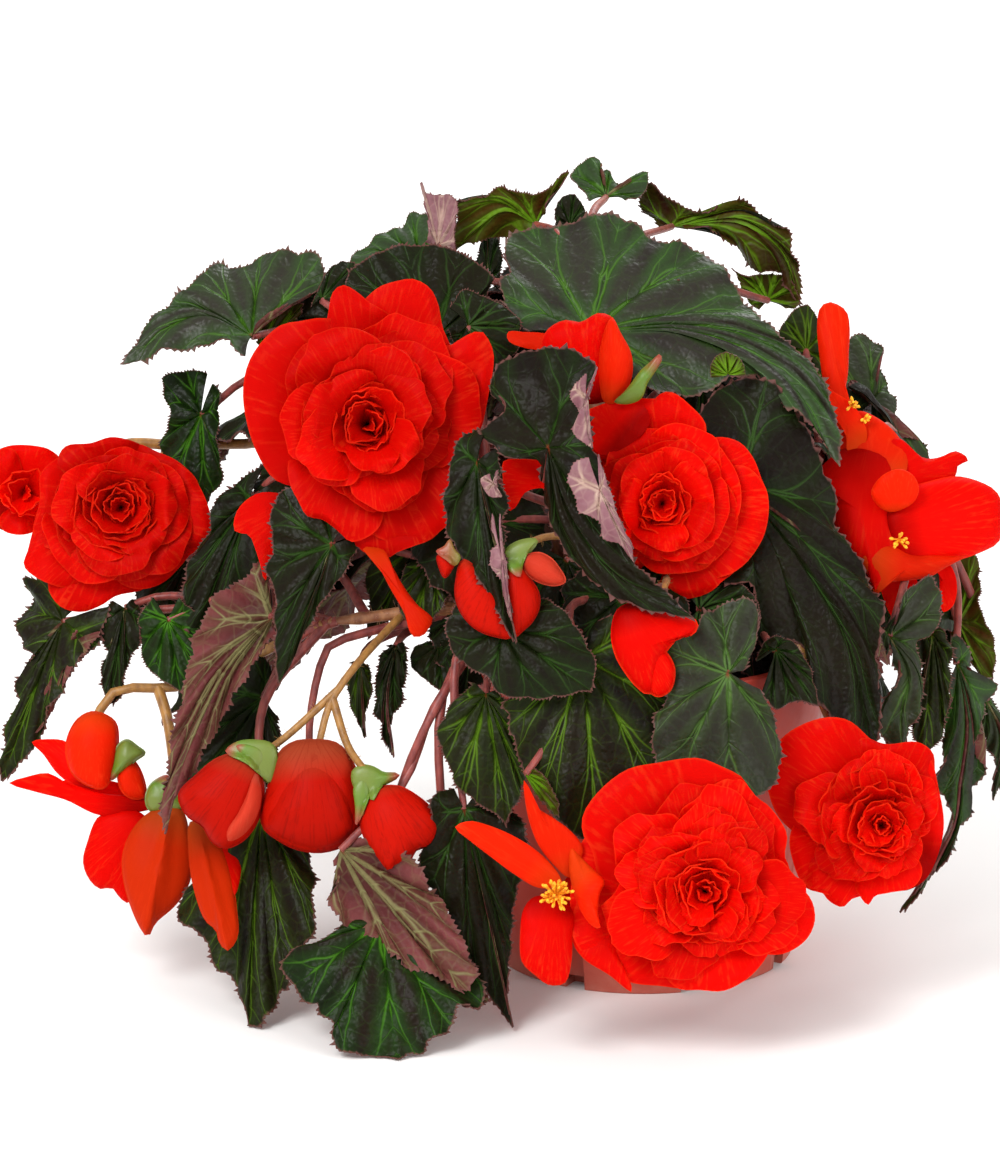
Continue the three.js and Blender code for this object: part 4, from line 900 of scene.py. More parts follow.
def tube(bm, points, low, high, sides=8, material=0, swell=None):
    """Adds a round limb along points, closed at both ends."""
    steps = len(points) - 1
    made = sheet(bm, sides, steps)
    tangents = [
        (points[min(i + 1, steps)] - points[max(i - 1, 0)]).normalized() for i in range(steps + 1)]
    across = tangents[0].orthogonal().normalized()
    frames = []
    for tangent in tangents:
        across = (across - tangent * across.dot(tangent)).normalized()
        frames.append((across, tangent.cross(across)))
    for vert in made:
        turn = (vert.co.x + 0.5) * FULL_TURN
        step = round((vert.co.y + 0.5) * steps)
        radius = mix(low, high, step / steps) * (swell(step / steps) if swell else 1)
        a, b = frames[step]
        vert.co = points[step] + (a * math.cos(turn) + b * math.sin(turn)) * radius
    faces = faces_round(made)
    paint(faces, material)
    weld(bm, made)
    rims = dict.fromkeys(
        edge for face in faces if face.is_valid for edge in face.edges if edge.is_boundary)
    paint(bmesh.ops.holes_fill(bm, edges=list(rims), sides=sides)["faces"], material)


def beside(way, turn):
    """A direction square to way, turned about it."""
    out = way.orthogonal().normalized()
    out.rotate(Matrix.Rotation(turn, 3, way))
    return out


HAIR_ROOT, HAIR_TIP = 0.09, 0.03  # radii


def fine_hairs(bm, points, radius, rng, count, material=0):
    """Adds the fine hairs that stand out from a young stem."""
    for _ in range(count):
        at = rng.uniform(0.02, 0.98) * (len(points) - 1)
        low = int(at)
        root, way = points[low].lerp(points[low + 1], at - low), points[low + 1] - points[low]
        out = beside(way, rng.uniform(0, FULL_TURN))
        tip = root + out * (radius + rng.uniform(0.7, 1.9)) + way.normalized() * rng.uniform(-0.4, 0.8)
        tube(bm, [root + out * (radius * 0.7), tip], HAIR_ROOT, HAIR_TIP, sides=3, material=material)


carriers = {}  # each finished stem's and stalk's points, by the name of its piece


def carrier_point(on):
    """The place a share of the way along a finished stem or stalk."""
    name, along = on
    points = carriers[name]
    spot = along * (len(points) - 1)
    low = min(int(spot), len(points) - 2)
    return points[low].lerp(points[low + 1], spot - low)


STALK_STEPS = 14
STALK_ARCH = 8


def stalk_points(name, row, end):
    """A stalk from the middle of what carries it to where the leaf or head sits."""
    start = carrier_point(row["on"])
    between = [seen(place) for place in row.get("via", ())]
    if not between:
        between = [start.lerp(end, 0.5) + UP * STALK_ARCH]
    carriers[name] = smooth_curve([start, *between, end], STALK_STEPS)
    return carriers[name]


# ---- materials ----------------------------------------------------------------------------------

def add(tree, kind, links=(), out=0, stops=None, **settings):
    """Adds a node with its settings and links, and gives back one of its output sockets."""
    made = tree.nodes.new("ShaderNode" + kind)
    for key, value in settings.items():
        setattr(made, key, value)
    for key, value in dict(links).items():
        socket = made.inputs[key]
        if isinstance(value, bpy.types.NodeSocket):
            tree.links.new(value, socket)
        else:
            socket.default_value = value
    if stops:
        ramp = made.color_ramp
        while len(ramp.elements) < len(stops):
            ramp.elements.new(0.5)
        for element, (position, colour) in zip(ramp.elements, stops):
            element.position = position
            element.color = colour
    return made.outputs[out] if made.outputs else None


def new_material(name):
    """A material with no nodes yet, and its node tree."""
    material = bpy.data.materials.new(name)
    material.use_nodes = True
    material.node_tree.nodes.clear()
    return material, material.node_tree


SMOOTH = {"interpolation_type": "SMOOTHSTEP"}


def per_mm(size):
    """The scale that makes a pattern on metre coordinates repeat about every size millimetres."""
    return 1 / (size * MM)


def vein_net(tree, broad):
    """A begonia leaf's veins as strengths from 0 to 1: (main, side, glow round them, way to the rim).

    The mesh gives each point's share of the way to the next main vein, that way's whole width in
    millimetres, and its distance from the hub. broad widens every vein.
    """
    leaf = add(tree, "Attribute", attribute_name="vein", out="Vector")
    share, width, reach = add(tree, "SeparateXYZ", {0: leaf}).node.outputs
    edge = add(tree, "Attribute", attribute_name="place", out="Vector")
    out_share = add(tree, "SeparateXYZ", {0: edge})
    place = add(tree, "TexCoord", out="Object")
    wobble = add(tree, "TexNoise", {"Vector": place, "Scale": per_mm(17), "Detail": 2.0})
    sway = add(tree, "Math", {0: wobble, 1: 0.5}, operation="SUBTRACT")

    def off(target):
        """Millimetres from the line that lies at the target share, with a slow sway."""
        apart = add(tree, "Math", {0: share, 1: target}, operation="SUBTRACT")
        straight = add(tree, "Math", {0: apart, 1: width}, operation="MULTIPLY")
        swayed = add(tree, "Math", {0: sway, 1: 5.0, 2: straight}, operation="MULTIPLY_ADD")
        return add(tree, "Math", {0: swayed}, operation="ABSOLUTE")

    # Each main vein forks at two fifths of the way out, and the forks drift apart towards the edge.
    off_main = off(0.0)
    parted = add(tree, "MapRange", {"Value": out_share, "From Min": 0.4, "From Max": 1.0,
                                    "To Min": 0.0, "To Max": 0.32})
    off_fork = off(parted)
    half = add(tree, "MapRange", {"Value": out_share, "To Min": 1.0 * broad, "To Max": 0.42 * broad})
    fading = add(tree, "MapRange", {"Value": out_share, "From Min": 0.55, "From Max": 1.0,
                                    "To Min": 1.0, "To Max": 0.35})
    on_main = add(tree, "MapRange", {"Value": off_main, "From Min": half, "From Max": 0.0}, **SMOOTH)
    on_fork = add(tree, "MapRange", {"Value": off_fork, "From Min": half, "From Max": 0.0,
                                     "To Max": 0.8}, **SMOOTH)
    main = add(tree, "Math", {0: on_main, 1: fading}, operation="MULTIPLY")
    fork = add(tree, "Math", {0: on_fork, 1: fading}, operation="MULTIPLY")
    strong = add(tree, "Math", {0: main, 1: fork}, operation="MAXIMUM")
    # Side veins leave forwards at about 45 degrees, one every 10 mm, and fade before the next main one.
    away = add(tree, "Math", {0: share, 1: width}, operation="MULTIPLY")
    slant = add(tree, "Math", {0: away, 1: -1.1, 2: reach}, operation="MULTIPLY_ADD")
    swung = add(tree, "Math", {0: sway, 1: 9.0, 2: slant}, operation="MULTIPLY_ADD")
    count = add(tree, "Math", {0: swung, 1: 10.0}, operation="DIVIDE")
    cycle = add(tree, "Math", {0: count}, operation="FRACT")
    centred = add(tree, "Math", {0: cycle, 1: 0.5}, operation="SUBTRACT")
    off_side = add(tree, "Math", {0: centred}, operation="ABSOLUTE")
    line = add(tree, "MapRange", {"Value": off_side, "From Min": 0.075 * broad, "From Max": 0.0},
               **SMOOTH)
    fade = add(tree, "MapRange", {"Value": share, "From Min": 0.44, "From Max": 0.05}, **SMOOTH)
    side = add(tree, "Math", {0: line, 1: fade}, operation="MULTIPLY")
    # A fine net of cells about 5 mm across fills what is between.
    cells = add(tree, "TexVoronoi", {"Vector": place, "Scale": per_mm(5)}, feature="DISTANCE_TO_EDGE")
    net = add(tree, "MapRange", {"Value": cells, "From Min": 0.1, "From Max": 0.0, "To Max": 0.16},
              **SMOOTH)
    weak = add(tree, "Math", {0: side, 1: net}, operation="MAXIMUM")
    near = add(tree, "Math", {0: off_main, 1: off_fork}, operation="MINIMUM")
    soft = add(tree, "MapRange", {"Value": near, "From Min": 5.5, "From Max": 0.0}, **SMOOTH)
    wide = add(tree, "MapRange", {"Value": off_side, "From Min": 0.3, "From Max": 0.0,
                                  "To Max": 0.6}, **SMOOTH)
    side_soft = add(tree, "Math", {0: wide, 1: fade}, operation="MULTIPLY")
    glow = add(tree, "Math", {0: soft, 1: side_soft}, operation="MAXIMUM")
    return strong, weak, glow, out_share


def leaf_material(name, tissue, patch, vein, halo, gloss, rough, broad=1.0, fine=0.26, edge=None):
    """Living leaf: waxy cuticle over dark tissue, which gives a soft grey-green shine.

    The veins are sunk in the upper side and stand out below, and colour bleeds from them. broad
    widens the veins and fine is the strength of the net between them.
    """
    material, tree = new_material(name)
    tissue, patch, vein, halo = (shade(colour) for colour in (tissue, patch, vein, halo))
    strong, weak, glow, out_share = vein_net(tree, broad)
    place = add(tree, "TexCoord", out="Object")
    blotch = add(tree, "TexNoise", {"Vector": place, "Scale": per_mm(30), "Detail": 3.0})
    mottle = add(tree, "MapRange", {"Value": blotch, "From Min": 0.36, "From Max": 0.64}, **SMOOTH)
    ground = add(tree, "MixRGB", {"Fac": mottle, "Color1": tissue, "Color2": patch})
    if edge:
        outward = add(tree, "MapRange", {"Value": out_share, "From Min": 0.35, "From Max": 1.0},
                      **SMOOTH)
        ground = add(tree, "MixRGB", {"Fac": outward, "Color1": ground, "Color2": shade(edge)})
    patchy = add(tree, "MapRange", {"Value": blotch, "From Min": 0.35, "From Max": 0.65,
                                    "To Min": 0.25, "To Max": 0.8})
    haze = add(tree, "Math", {0: glow, 1: patchy}, operation="MULTIPLY")
    tinted = add(tree, "MixRGB", {"Fac": haze, "Color1": ground, "Color2": halo})
    lines = add(tree, "Math", {0: weak, 1: fine}, operation="MULTIPLY")
    netted = add(tree, "MixRGB", {"Fac": lines, "Color1": tinted, "Color2": vein})
    drawn = add(tree, "Math", {0: strong, 1: 0.85}, operation="MULTIPLY")
    veined = add(tree, "MixRGB", {"Fac": drawn, "Color1": netted, "Color2": vein})
    # The stalk's red shows through at the hub, and the teeth are dry and pinkish at their tips.
    hub = add(tree, "MapRange", {"Value": out_share, "From Min": 0.05, "From Max": 0.0,
                                 "To Max": 0.8}, **SMOOTH)
    hubbed = add(tree, "MixRGB", {"Fac": hub, "Color1": veined, "Color2": linear("#7a2a18")})
    lip = add(tree, "MapRange", {"Value": out_share, "From Min": 0.985, "From Max": 1.01,
                                 "To Max": 0.75}, **SMOOTH)
    rimmed = add(tree, "MixRGB", {"Fac": lip, "Color1": hubbed, "Color2": linear("#6a423e")})
    pores = add(tree, "TexVoronoi", {"Vector": place, "Scale": per_mm(1.5)}, feature="SMOOTH_F1")
    grain = add(tree, "Math", {0: weak, 1: -0.9, 2: pores}, operation="MULTIPLY_ADD")
    sunk = add(tree, "Math", {0: strong, 1: -1.2, 2: grain}, operation="MULTIPLY_ADD")
    puckers = add(tree, "TexNoise", {"Vector": place, "Scale": per_mm(7), "Detail": 2.0})
    pillowed = add(tree, "Math", {0: puckers, 1: 3.0, 2: sunk}, operation="MULTIPLY_ADD")
    skin = add(tree, "Bump", {"Height": pillowed, "Strength": 0.45, "Distance": 0.6 * MM})
    matt = add(tree, "MapRange", {"Value": blotch, "From Min": 0.3, "From Max": 0.7,
                                  "To Min": rough - 0.06, "To Max": rough + 0.1})
    shader = add(tree, "BsdfPrincipled", {
        "Base Color": rimmed, "Roughness": matt, "Normal": skin, "IOR": 1.45,
        "Specular IOR Level": gloss})
    add(tree, "OutputMaterial", {"Surface": shader})
    return material


def petal_material(name, colour, rim, heart, glow, streak=0.15):
    """Fresh petal: thin, moist and velvety, so light passes into it. Its rims are mixed towards a lighter
    orange, partly the petal's own colour and partly a painted glow of light through the thin edge.

    heart is the colour at the claw, in the scarlet and crimson petals a darker red that is painted shade
    deep in the head; glow the light that passes through, and streak how strongly the veins show at the
    claw.
    """
    material, tree = new_material(name)
    colour, rim, heart = (shade(part) for part in (colour, rim, heart))
    layer = add(tree, "Attribute", attribute_name="place", out="Vector")
    along, across, edge = add(tree, "SeparateXYZ", {0: layer}).node.outputs
    shades = add(tree, "Attribute", attribute_name="vein", out="Vector")
    tone = add(tree, "SeparateXYZ", {0: shades})
    # The claw starts from the heart colour; in the scarlet and crimson petals that is a darker red,
    # painted shade deep in the head.
    body = add(tree, "ValToRGB", {"Fac": along}, stops=[(0.0, heart), (0.3, colour), (1.0, colour)])
    # Fine veins run from claw to rim, about thirty across a petal, and pale towards the rim.
    fan = add(tree, "CombineXYZ", {"X": across, "Y": tone})
    fine = add(tree, "TexNoise", {"Vector": fan, "Scale": 24.0, "Detail": 2.0})
    drift = add(tree, "CombineXYZ", {"X": add(tree, "Math", {0: across, 1: 4.0}, operation="MULTIPLY"),
                                     "Y": along, "Z": tone})
    broken = add(tree, "TexNoise", {"Vector": drift, "Scale": 9.0, "Detail": 2.0})
    stripe = add(tree, "Math", {0: fine, 1: broken}, operation="MULTIPLY")
    outer = add(tree, "MapRange", {"Value": along, "From Min": 0.35, "From Max": 0.95,
                                   "To Min": streak, "To Max": 1.0})
    pale = add(tree, "MapRange", {"Value": stripe, "From Min": 0.26, "From Max": 0.42,
                                  "To Min": 0.0, "To Max": 0.55})
    paled = add(tree, "Math", {0: pale, 1: outer}, operation="MULTIPLY")
    streaked = add(tree, "MixRGB", {"Fac": paled, "Color1": body, "Color2": rim})
    # The rim is mixed towards the lighter orange: partly the petal's own rim colour, partly a painted
    # glow of light through the thin edge.
    lip = add(tree, "MapRange", {"Value": edge, "From Min": 0.95, "From Max": 1.0,
                                 "To Min": 0.0, "To Max": 0.4})
    rimmed = add(tree, "MixRGB", {"Fac": lip, "Color1": streaked, "Color2": rim})
    toned = add(tree, "HueSaturation", {"Color": rimmed, "Value": add(
        tree, "MapRange", {"Value": tone, "To Min": 0.86, "To Max": 1.06})})
    velvet = add(tree, "TexNoise", {"Vector": add(tree, "TexCoord", out="Object"), "Scale": per_mm(0.9)})
    relief = add(tree, "Math", {0: fine, 1: 0.6, 2: velvet}, operation="MULTIPLY_ADD")
    skin = add(tree, "Bump", {"Height": relief, "Strength": 0.1, "Distance": 0.3 * MM})
    surface = add(tree, "BsdfPrincipled", {
        "Base Color": toned, "Roughness": 0.5, "Normal": skin, "IOR": 1.4,
        "Specular IOR Level": 0.06})
    through = add(tree, "BsdfTranslucent", {"Color": toned, "Normal": skin})
    shader = add(tree, "MixShader", {0: glow, 1: surface, 2: through})
    add(tree, "OutputMaterial", {"Surface": shader})
    return material


def flesh_material(name, low, high):
    """Juicy stem or stalk tissue: translucent skin with long darker streaks and fine down."""
    material, tree = new_material(name)
    place = add(tree, "TexCoord", out="Object")
    stretched = add(tree, "Mapping", {"Vector": place, "Scale": (1.0, 1.0, 0.35)})
    streaks = add(tree, "TexNoise", {"Vector": stretched, "Scale": per_mm(2.5), "Detail": 3.0})
    colour = add(tree, "ValToRGB", {"Fac": streaks}, stops=[(0.3, linear(low)), (0.68, linear(high))])
    down = add(tree, "TexNoise", {"Vector": place, "Scale": per_mm(0.5)})
    skin = add(tree, "Bump", {"Height": down, "Strength": 0.35, "Distance": 0.25 * MM})
    shader = add(tree, "BsdfPrincipled", {
        "Base Color": colour, "Roughness": 0.45, "Normal": skin, "Subsurface Weight": 0.12,
        "Subsurface Radius": (0.003, 0.0015, 0.001), "Subsurface Scale": 0.5,
        "Sheen Weight": 0.3, "Sheen Tint": linear("#e8b8a0")})
    add(tree, "OutputMaterial", {"Surface": shader})
    return material


def calyx_material():
    """Fleshy green calyx of a begonia flower, blushed red where the sun reaches its points."""
    material, tree = new_material("begonia_calyx")
    layer = add(tree, "Attribute", attribute_name="place", out="Vector")
    along = add(tree, "SeparateXYZ", {0: layer})
    body = add(tree, "ValToRGB", {"Fac": along}, stops=[
        (0.0, linear("#68782a")), (0.6, linear("#5a7a1c")), (0.86, linear("#8a4c2c")),
        (1.0, linear("#963222"))])
    place = add(tree, "TexCoord", out="Object")
    veins = add(tree, "TexNoise", {"Vector": place, "Scale": per_mm(2.0), "Detail": 3.0})
    skin = add(tree, "Bump", {"Height": veins, "Strength": 0.3, "Distance": 0.3 * MM})
    shader = add(tree, "BsdfPrincipled", {
        "Base Color": body, "Roughness": 0.42, "Normal": skin, "Subsurface Weight": 0.15,
        "Subsurface Radius": (0.002, 0.003, 0.001), "Subsurface Scale": 0.5})
    add(tree, "OutputMaterial", {"Surface": shader})
    return material


def stamen_material():
    """Pollen-dusted anthers: matt egg yellow with a powdery grain."""
    material, tree = new_material("begonia_anther")
    place = add(tree, "TexCoord", out="Object")
    dust = add(tree, "TexNoise", {"Vector": place, "Scale": per_mm(0.8), "Detail": 2.0})
    colour = add(tree, "ValToRGB", {"Fac": dust}, stops=[
        (0.35, linear("#e07808")), (0.62, linear("#ffc21c"))])
    skin = add(tree, "Bump", {"Height": dust, "Strength": 0.5, "Distance": 0.2 * MM})
    shader = add(tree, "BsdfPrincipled", {"Base Color": colour, "Roughness": 0.7, "Normal": skin})
    add(tree, "OutputMaterial", {"Surface": shader})
    return material


def pot_material(plastic):
    """Thin polypropylene nursery pot, injection moulded: satin, faintly drawn, dusty at the foot."""
    material, tree = new_material("nursery_pot_polypropylene")
    place = add(tree, "TexCoord", out="Object")
    cloud = add(tree, "TexNoise", {"Vector": place, "Scale": per_mm(40), "Detail": 4.0})
    faded = add(tree, "MapRange", {"Value": cloud, "From Min": 0.3, "From Max": 0.7,
                                   "To Min": 0.88, "To Max": 1.06})
    body = add(tree, "HueSaturation", {"Color": shade(plastic), "Value": faded})
    height = add(tree, "SeparateXYZ", {0: place}).node.outputs[2]
    foot = add(tree, "MapRange", {"Value": height, "From Min": 0.016, "From Max": 0.0,
                                  "To Min": 0.0, "To Max": 0.45})
    grime = add(tree, "TexNoise", {"Vector": place, "Scale": per_mm(5), "Detail": 5.0})
    dust = add(tree, "Math", {0: foot, 1: grime}, operation="MULTIPLY")
    dusty = add(tree, "MixRGB", {"Fac": dust, "Color1": body, "Color2": linear("#c9a590")})
    drawn = add(tree, "Mapping", {"Vector": place, "Scale": (1.0, 1.0, 0.04)})
    lines = add(tree, "TexNoise", {"Vector": drawn, "Scale": per_mm(1.6), "Detail": 2.0})
    skin = add(tree, "Bump", {"Height": lines, "Strength": 0.12, "Distance": 0.2 * MM})
    matt = add(tree, "MapRange", {"Value": grime, "From Min": 0.3, "From Max": 0.7,
                                  "To Min": 0.34, "To Max": 0.5})
    shader = add(tree, "BsdfPrincipled", {
        "Base Color": dusty, "Roughness": matt, "Normal": skin, "IOR": 1.49, "Specular IOR Level": 0.25,
        "Subsurface Weight": 0.06, "Subsurface Radius": (0.004, 0.0015, 0.001)})
    add(tree, "OutputMaterial", {"Surface": shader})
    return material


def crumbly_material(name, dark, light, grain_mm):
    """A matt surface of two mixed colours with a rough relief."""
    material, tree = new_material(name)
    place = add(tree, "TexCoord", out="Object")
    crumbs = add(tree, "TexNoise", {"Vector": place, "Scale": per_mm(grain_mm), "Detail": 6.0})
    colour = add(tree, "ValToRGB", {"Fac": crumbs}, stops=[(0.32, linear(dark)), (0.7, linear(light))])
    skin = add(tree, "Bump", {"Height": crumbs, "Strength": 0.8, "Distance": 1.0 * MM})
    shader = add(tree, "BsdfPrincipled", {"Base Color": colour, "Roughness": 0.85, "Normal": skin})
    add(tree, "OutputMaterial", {"Surface": shader})
    return material


def peat_material():
    """Moist peat mix: dark crumbs with fibres, matt."""
    return crumbly_material("moist_peat_mix", "#120b08", "#3a2a20", 3)


def perlite_material():
    """Expanded perlite: chalky white grains, puffed up and matt."""
    return crumbly_material("expanded_perlite", "#b8b2a6", "#efece4", 1.5)


def bark_material():
    """The tuber's corky bark: brown, dry and cracked."""
    return crumbly_material("begonia_tuber_bark", "#3a281c", "#6e5038", 4)


def leaf_looks(colours):
    """The finishes of a leaf's upper side, from near black to grey, and of its underside. The lighter
    grey and silver tissue is painted sheen, and the olive look's bright veins and the backlit underside
    are painted light shining through the leaf.

    Each row gives the colours of the tissue, its patches, its veins and the glow round them, then
    gloss and roughness, and then what differs from a plain upper side.
    """
    return {
        "top_dark": (colours.leaf, "#130d08", "#2e4a1a", "#18220b", 0.09, 0.36),
        "top_vivid": ("#12170a", "#1c110a", colours.vein, "#18360c", 0.1, 0.36),
        # The grey look's lighter grey tissue is painted sheen; its higher gloss is real.
        "top_grey": ("#26261b", "#201e14", "#4a6a2c", "#2c3a1a", 0.2, 0.4),
        # The silver look's lighter grey tissue is painted sheen; its higher gloss is real.
        "top_silver": ("#27251b", "#1a130c", "#426c18", "#284a14", 0.28, 0.42),
        # The olive look's brighter veins and glow are painted light shining through the leaf from behind.
        "top_olive": ("#1a140a", "#120e08", "#56781a", "#242f0c", 0.1, 0.38),
        "under_purple": ("#320f10", "#461a1a", "#77724a", "#4a2c1e", 0.15, 0.45, 1.4, 0.8, "#6e3636"),
        "under_pale": ("#6c3e48", "#8a5c66", "#b89c8c", "#8f6a6c", 0.2, 0.5, 1.4, 0.7),
        "under_backlit": ("#2c140a", "#4c1c0a", "#5f8a14", "#3c480e", 0.12, 0.45, 1.2),
    }


made_materials = {}


def finish(name):
    """The named material, made the first time that a piece asks for it."""
    if name in made_materials:
        return made_materials[name]
    colours = bpy.context.scene.begonia_colours
    makers = {
        "pot": (pot_material, colours.pot),
        "soil": (peat_material,),
        "perlite": (perlite_material,),
        "tuber": (bark_material,),
        "stem": (flesh_material, "begonia_stem", "#74402a", "#b07a50"),
        "red_stalk": (flesh_material, "begonia_leaf_stalk", "#641f20", "#98453c"),
        "flower_stalk": (flesh_material, "begonia_flower_stalk", "#7c5426", "#ad7c3a"),
        # The scarlet heart is a darker red at the claws: painted shade deep in the head.
        "scarlet": (
            petal_material, "begonia_petal_scarlet", colours.petal, colours.petal_rim, "#b40200", 0.45),
        # The crimson petals are a darker red over all of a head deep in shadow: painted shade.
        "crimson": (petal_material, "begonia_petal_crimson", "#de0802", "#f23c18", "#a80200", 0.42),
        "orange": (petal_material, "begonia_petal_orange", "#f02604", "#fa4a1c", "#e2400c", 0.38, 0.4),
        "hanging": (petal_material, "begonia_petal_hanging", "#c82c06", "#d8380e", "#a84416", 0.25),
        "bud": (petal_material, "begonia_bud_petal", "#b81204", "#7a0a02", "#9c3c22", 0.12, 0.7),
        "bud_pale": (petal_material, "begonia_bud_petal_pale", "#cc3a26", "#d8563c", "#a86650", 0.18),
        "calyx": (calyx_material,),
        "anther": (stamen_material,),
    }
    for look, values in leaf_looks(colours).items():
        makers[look] = (leaf_material, "begonia_leaf_" + look, *values)
    maker, *values = makers[name]
    made_materials[name] = maker(*values)
    return made_materials[name]


# ---- leaves -------------------------------------------------------------------------------------

SECTOR_CELLS = 14  # cells from one main vein to the next
RINGS = 17
TOOTH_CUTS = 3  # cuts of each rim cell, which give it one sharp tooth
RIM, NEAR_RIM = 0.999, 0.499  # where a grid's last row is, counted from 0 and from -0.5
TOOTH_SHARE = 0.03  # the tallest tooth, as a share of the blade's length
TOOTH_MARK = 0.02  # how far past 1 the "place" of a tooth goes, for its dry tip
RUFFLES = ((4, 0.6), (11, 0.45))  # waves round the rim, each with its share of the whole height
TABLE_GAP = 1.1  # how near the table a leaf may hang
SPINE_STEPS = 24
SCALLOP_LENGTH = 9
HEART_STEPS = 14
HEART_ARCH, HEART_CURL, HEART_FOLD = 0.12, 0.35, 0.12
FLAP_LIFT = 2.5
FLAP_VEINS, FLAP_WAVE, FLAP_SAG, FLAP_TOOTH = 5, 0.02, 0.1, 0.6


def traced(points, across=0, up=0):
    """Points read off the picture plane as flat places, counted from (across, up)."""
    return [Vector(read(right, down, 0)) - Vector((across, up, 0)) for right, down in points]


def signed_area(flat):
    """Twice a closed line's area, above 0 where it runs anticlockwise as the viewer sees it."""
    return sum(a.x * b.y - a.y * b.x for a, b in zip(flat, flat[1:] + flat[:1]))


def heart_outline(length, halves, lobes):
    """The flat edge of a heart-shaped blade, from one side of its notch round to the other."""
    sides = []
    for sign, half in ((-1, halves[1]), (1, halves[0])):
        run = []
        for i in range(1, HEART_STEPS + 1):
            q = (i / HEART_STEPS) ** 1.3
            bulk = math.sin(math.pi * q ** 0.62) ** (0.62 + 0.5 * q * q) if q < 1 else 0
            point = Vector((sign * half * bulk, (q * (1 + lobes) - lobes) * length, 0))
            jag = 1 + 0.05 * math.sin(i * 2.4 + sign)
            run.append(point * jag)
        sides.append(run)
    return sides[0] + sides[1][-2::-1]


def heart_surface(row):
    """Edge points and a place function for a leaf that is given by its midrib and half widths."""
    root, end = seen(row["hub"]), seen(row["tip"])
    length = (end - root).length
    front = heading(row["faces"])
    middle = root.lerp(end, 0.5) + front * (HEART_ARCH * length)

    def place(x, y):
        s = y / length
        ahead = max(s, 0)
        tangent = ((middle - root) * (1 - ahead) + (end - middle) * ahead).normalized()
        spot = root * (1 - ahead) ** 2 + middle * (2 * ahead * (1 - ahead)) + end * ahead ** 2
        side = tangent.cross(front).normalized()
        up = side.cross(tangent)
        half = row["halves"][0 if x > 0 else 1]
        turn = HEART_FOLD - HEART_CURL * abs(x) / half
        if s < 0:
            spot += tangent * (s * length) - up * (0.3 * s * s * length)
        return spot + side * (x * math.cos(turn)) + up * (abs(x) * math.sin(turn)), up

    return heart_outline(length, row["halves"], row.get("lobes", 0)), place


def seen_surface(row, edge):
    """The same for a leaf whose edge is read off the picture plane: across, up and near."""
    across, up, near = row["hub"]
    flat = traced(edge, across, up)
    tip = max(flat, key=lambda p: p.length)
    reach = tip.length
    tilt = Vector(row["faces"]).normalized()
    line = Vector((tip.x, tip.y, row["tip_near"] - near)).normalized()
    tilt = (tilt - line * tilt.dot(line)).normalized()
    out = tilt if abs(tilt.z) > 0.3 else Vector((tilt.x, tilt.y, math.copysign(0.3, tilt.z)))
    slope = Vector((-out.x / out.z, -out.y / out.z))
    toward = 1 if out.z > 0 else -1
    sag = row.get("sag", 0.07) * reach
    normal = heading(tilt)

    def place(x, y):
        share = min(math.hypot(x, y) / reach, 1.2)
        lift = slope.x * x + slope.y * y - toward * sag * share * share
        return seen((across + x, up + y, near + lift)), normal

    if signed_area(flat) * toward > 0:
        flat.reverse()
    return flat, place


def toothed_edge(outline, veins, per_vein):
    """Evenly spaced points from notch to tip and on to the notch, with a vein at the tip.

    Also gives the tip's place among them, and the edge's length from one main vein to the next.
    """
    tip = max(range(len(outline)), key=lambda i: outline[i].length)
    tip = min(max(tip, 1), len(outline) - 2)
    runs = [outline[: tip + 1], outline[tip:]]
    lengths = [sum((b - a).length for a, b in zip(run, run[1:])) for run in runs]
    sector = min(max(round(veins * lengths[0] / sum(lengths) - 0.5), 0), veins - 1)
    before = sector * per_vein + per_vein // 2
    first = smooth_curve(runs[0], before)
    last = smooth_curve(runs[1], veins * per_vein - before)
    return first + last[1:], before, sum(lengths) / veins


def midrib(row, tip):
    """The midrib as evenly spaced flat points from the hub to the tip."""
    across, up, _ = row["hub"]
    return smooth_curve([Vector((0, 0, 0)), *traced(row.get("spine", ()), across, up), tip], SPINE_STEPS)


def along_spine(spine, share):
    """The place a share of the way along the midrib."""
    low = min(int(share * SPINE_STEPS), SPINE_STEPS - 1)
    return spine[low].lerp(spine[low + 1], share * SPINE_STEPS - low)


def spine_shares(spine, edge):
    """For each edge point, how far along the midrib it lies, evened out over its neighbours."""
    shares = []
    for point in edge:
        nearest = (math.inf, 0)
        for i, (a, b) in enumerate(zip(spine, spine[1:])):
            way = b - a
            t = min(max((point - a).dot(way) / way.length_squared, 0), 1)
            nearest = min(nearest, ((point - a.lerp(b, t)).length, (i + t) / SPINE_STEPS))
        shares.append(nearest[1])
    spans = [shares[max(i - 3, 0): i + 4] for i in range(len(shares))]
    return [sum(span) / len(span) for span in spans]


def tooth_rise(at, tip_at):
    """How far up a tooth a rim point lies: teeth lean towards the leaf's tip from both sides."""
    step = at % (TOOTH_CUTS + 1)
    return (step if at < tip_at else (TOOTH_CUTS + 1 - step) % (TOOTH_CUTS + 1)) / TOOTH_CUTS


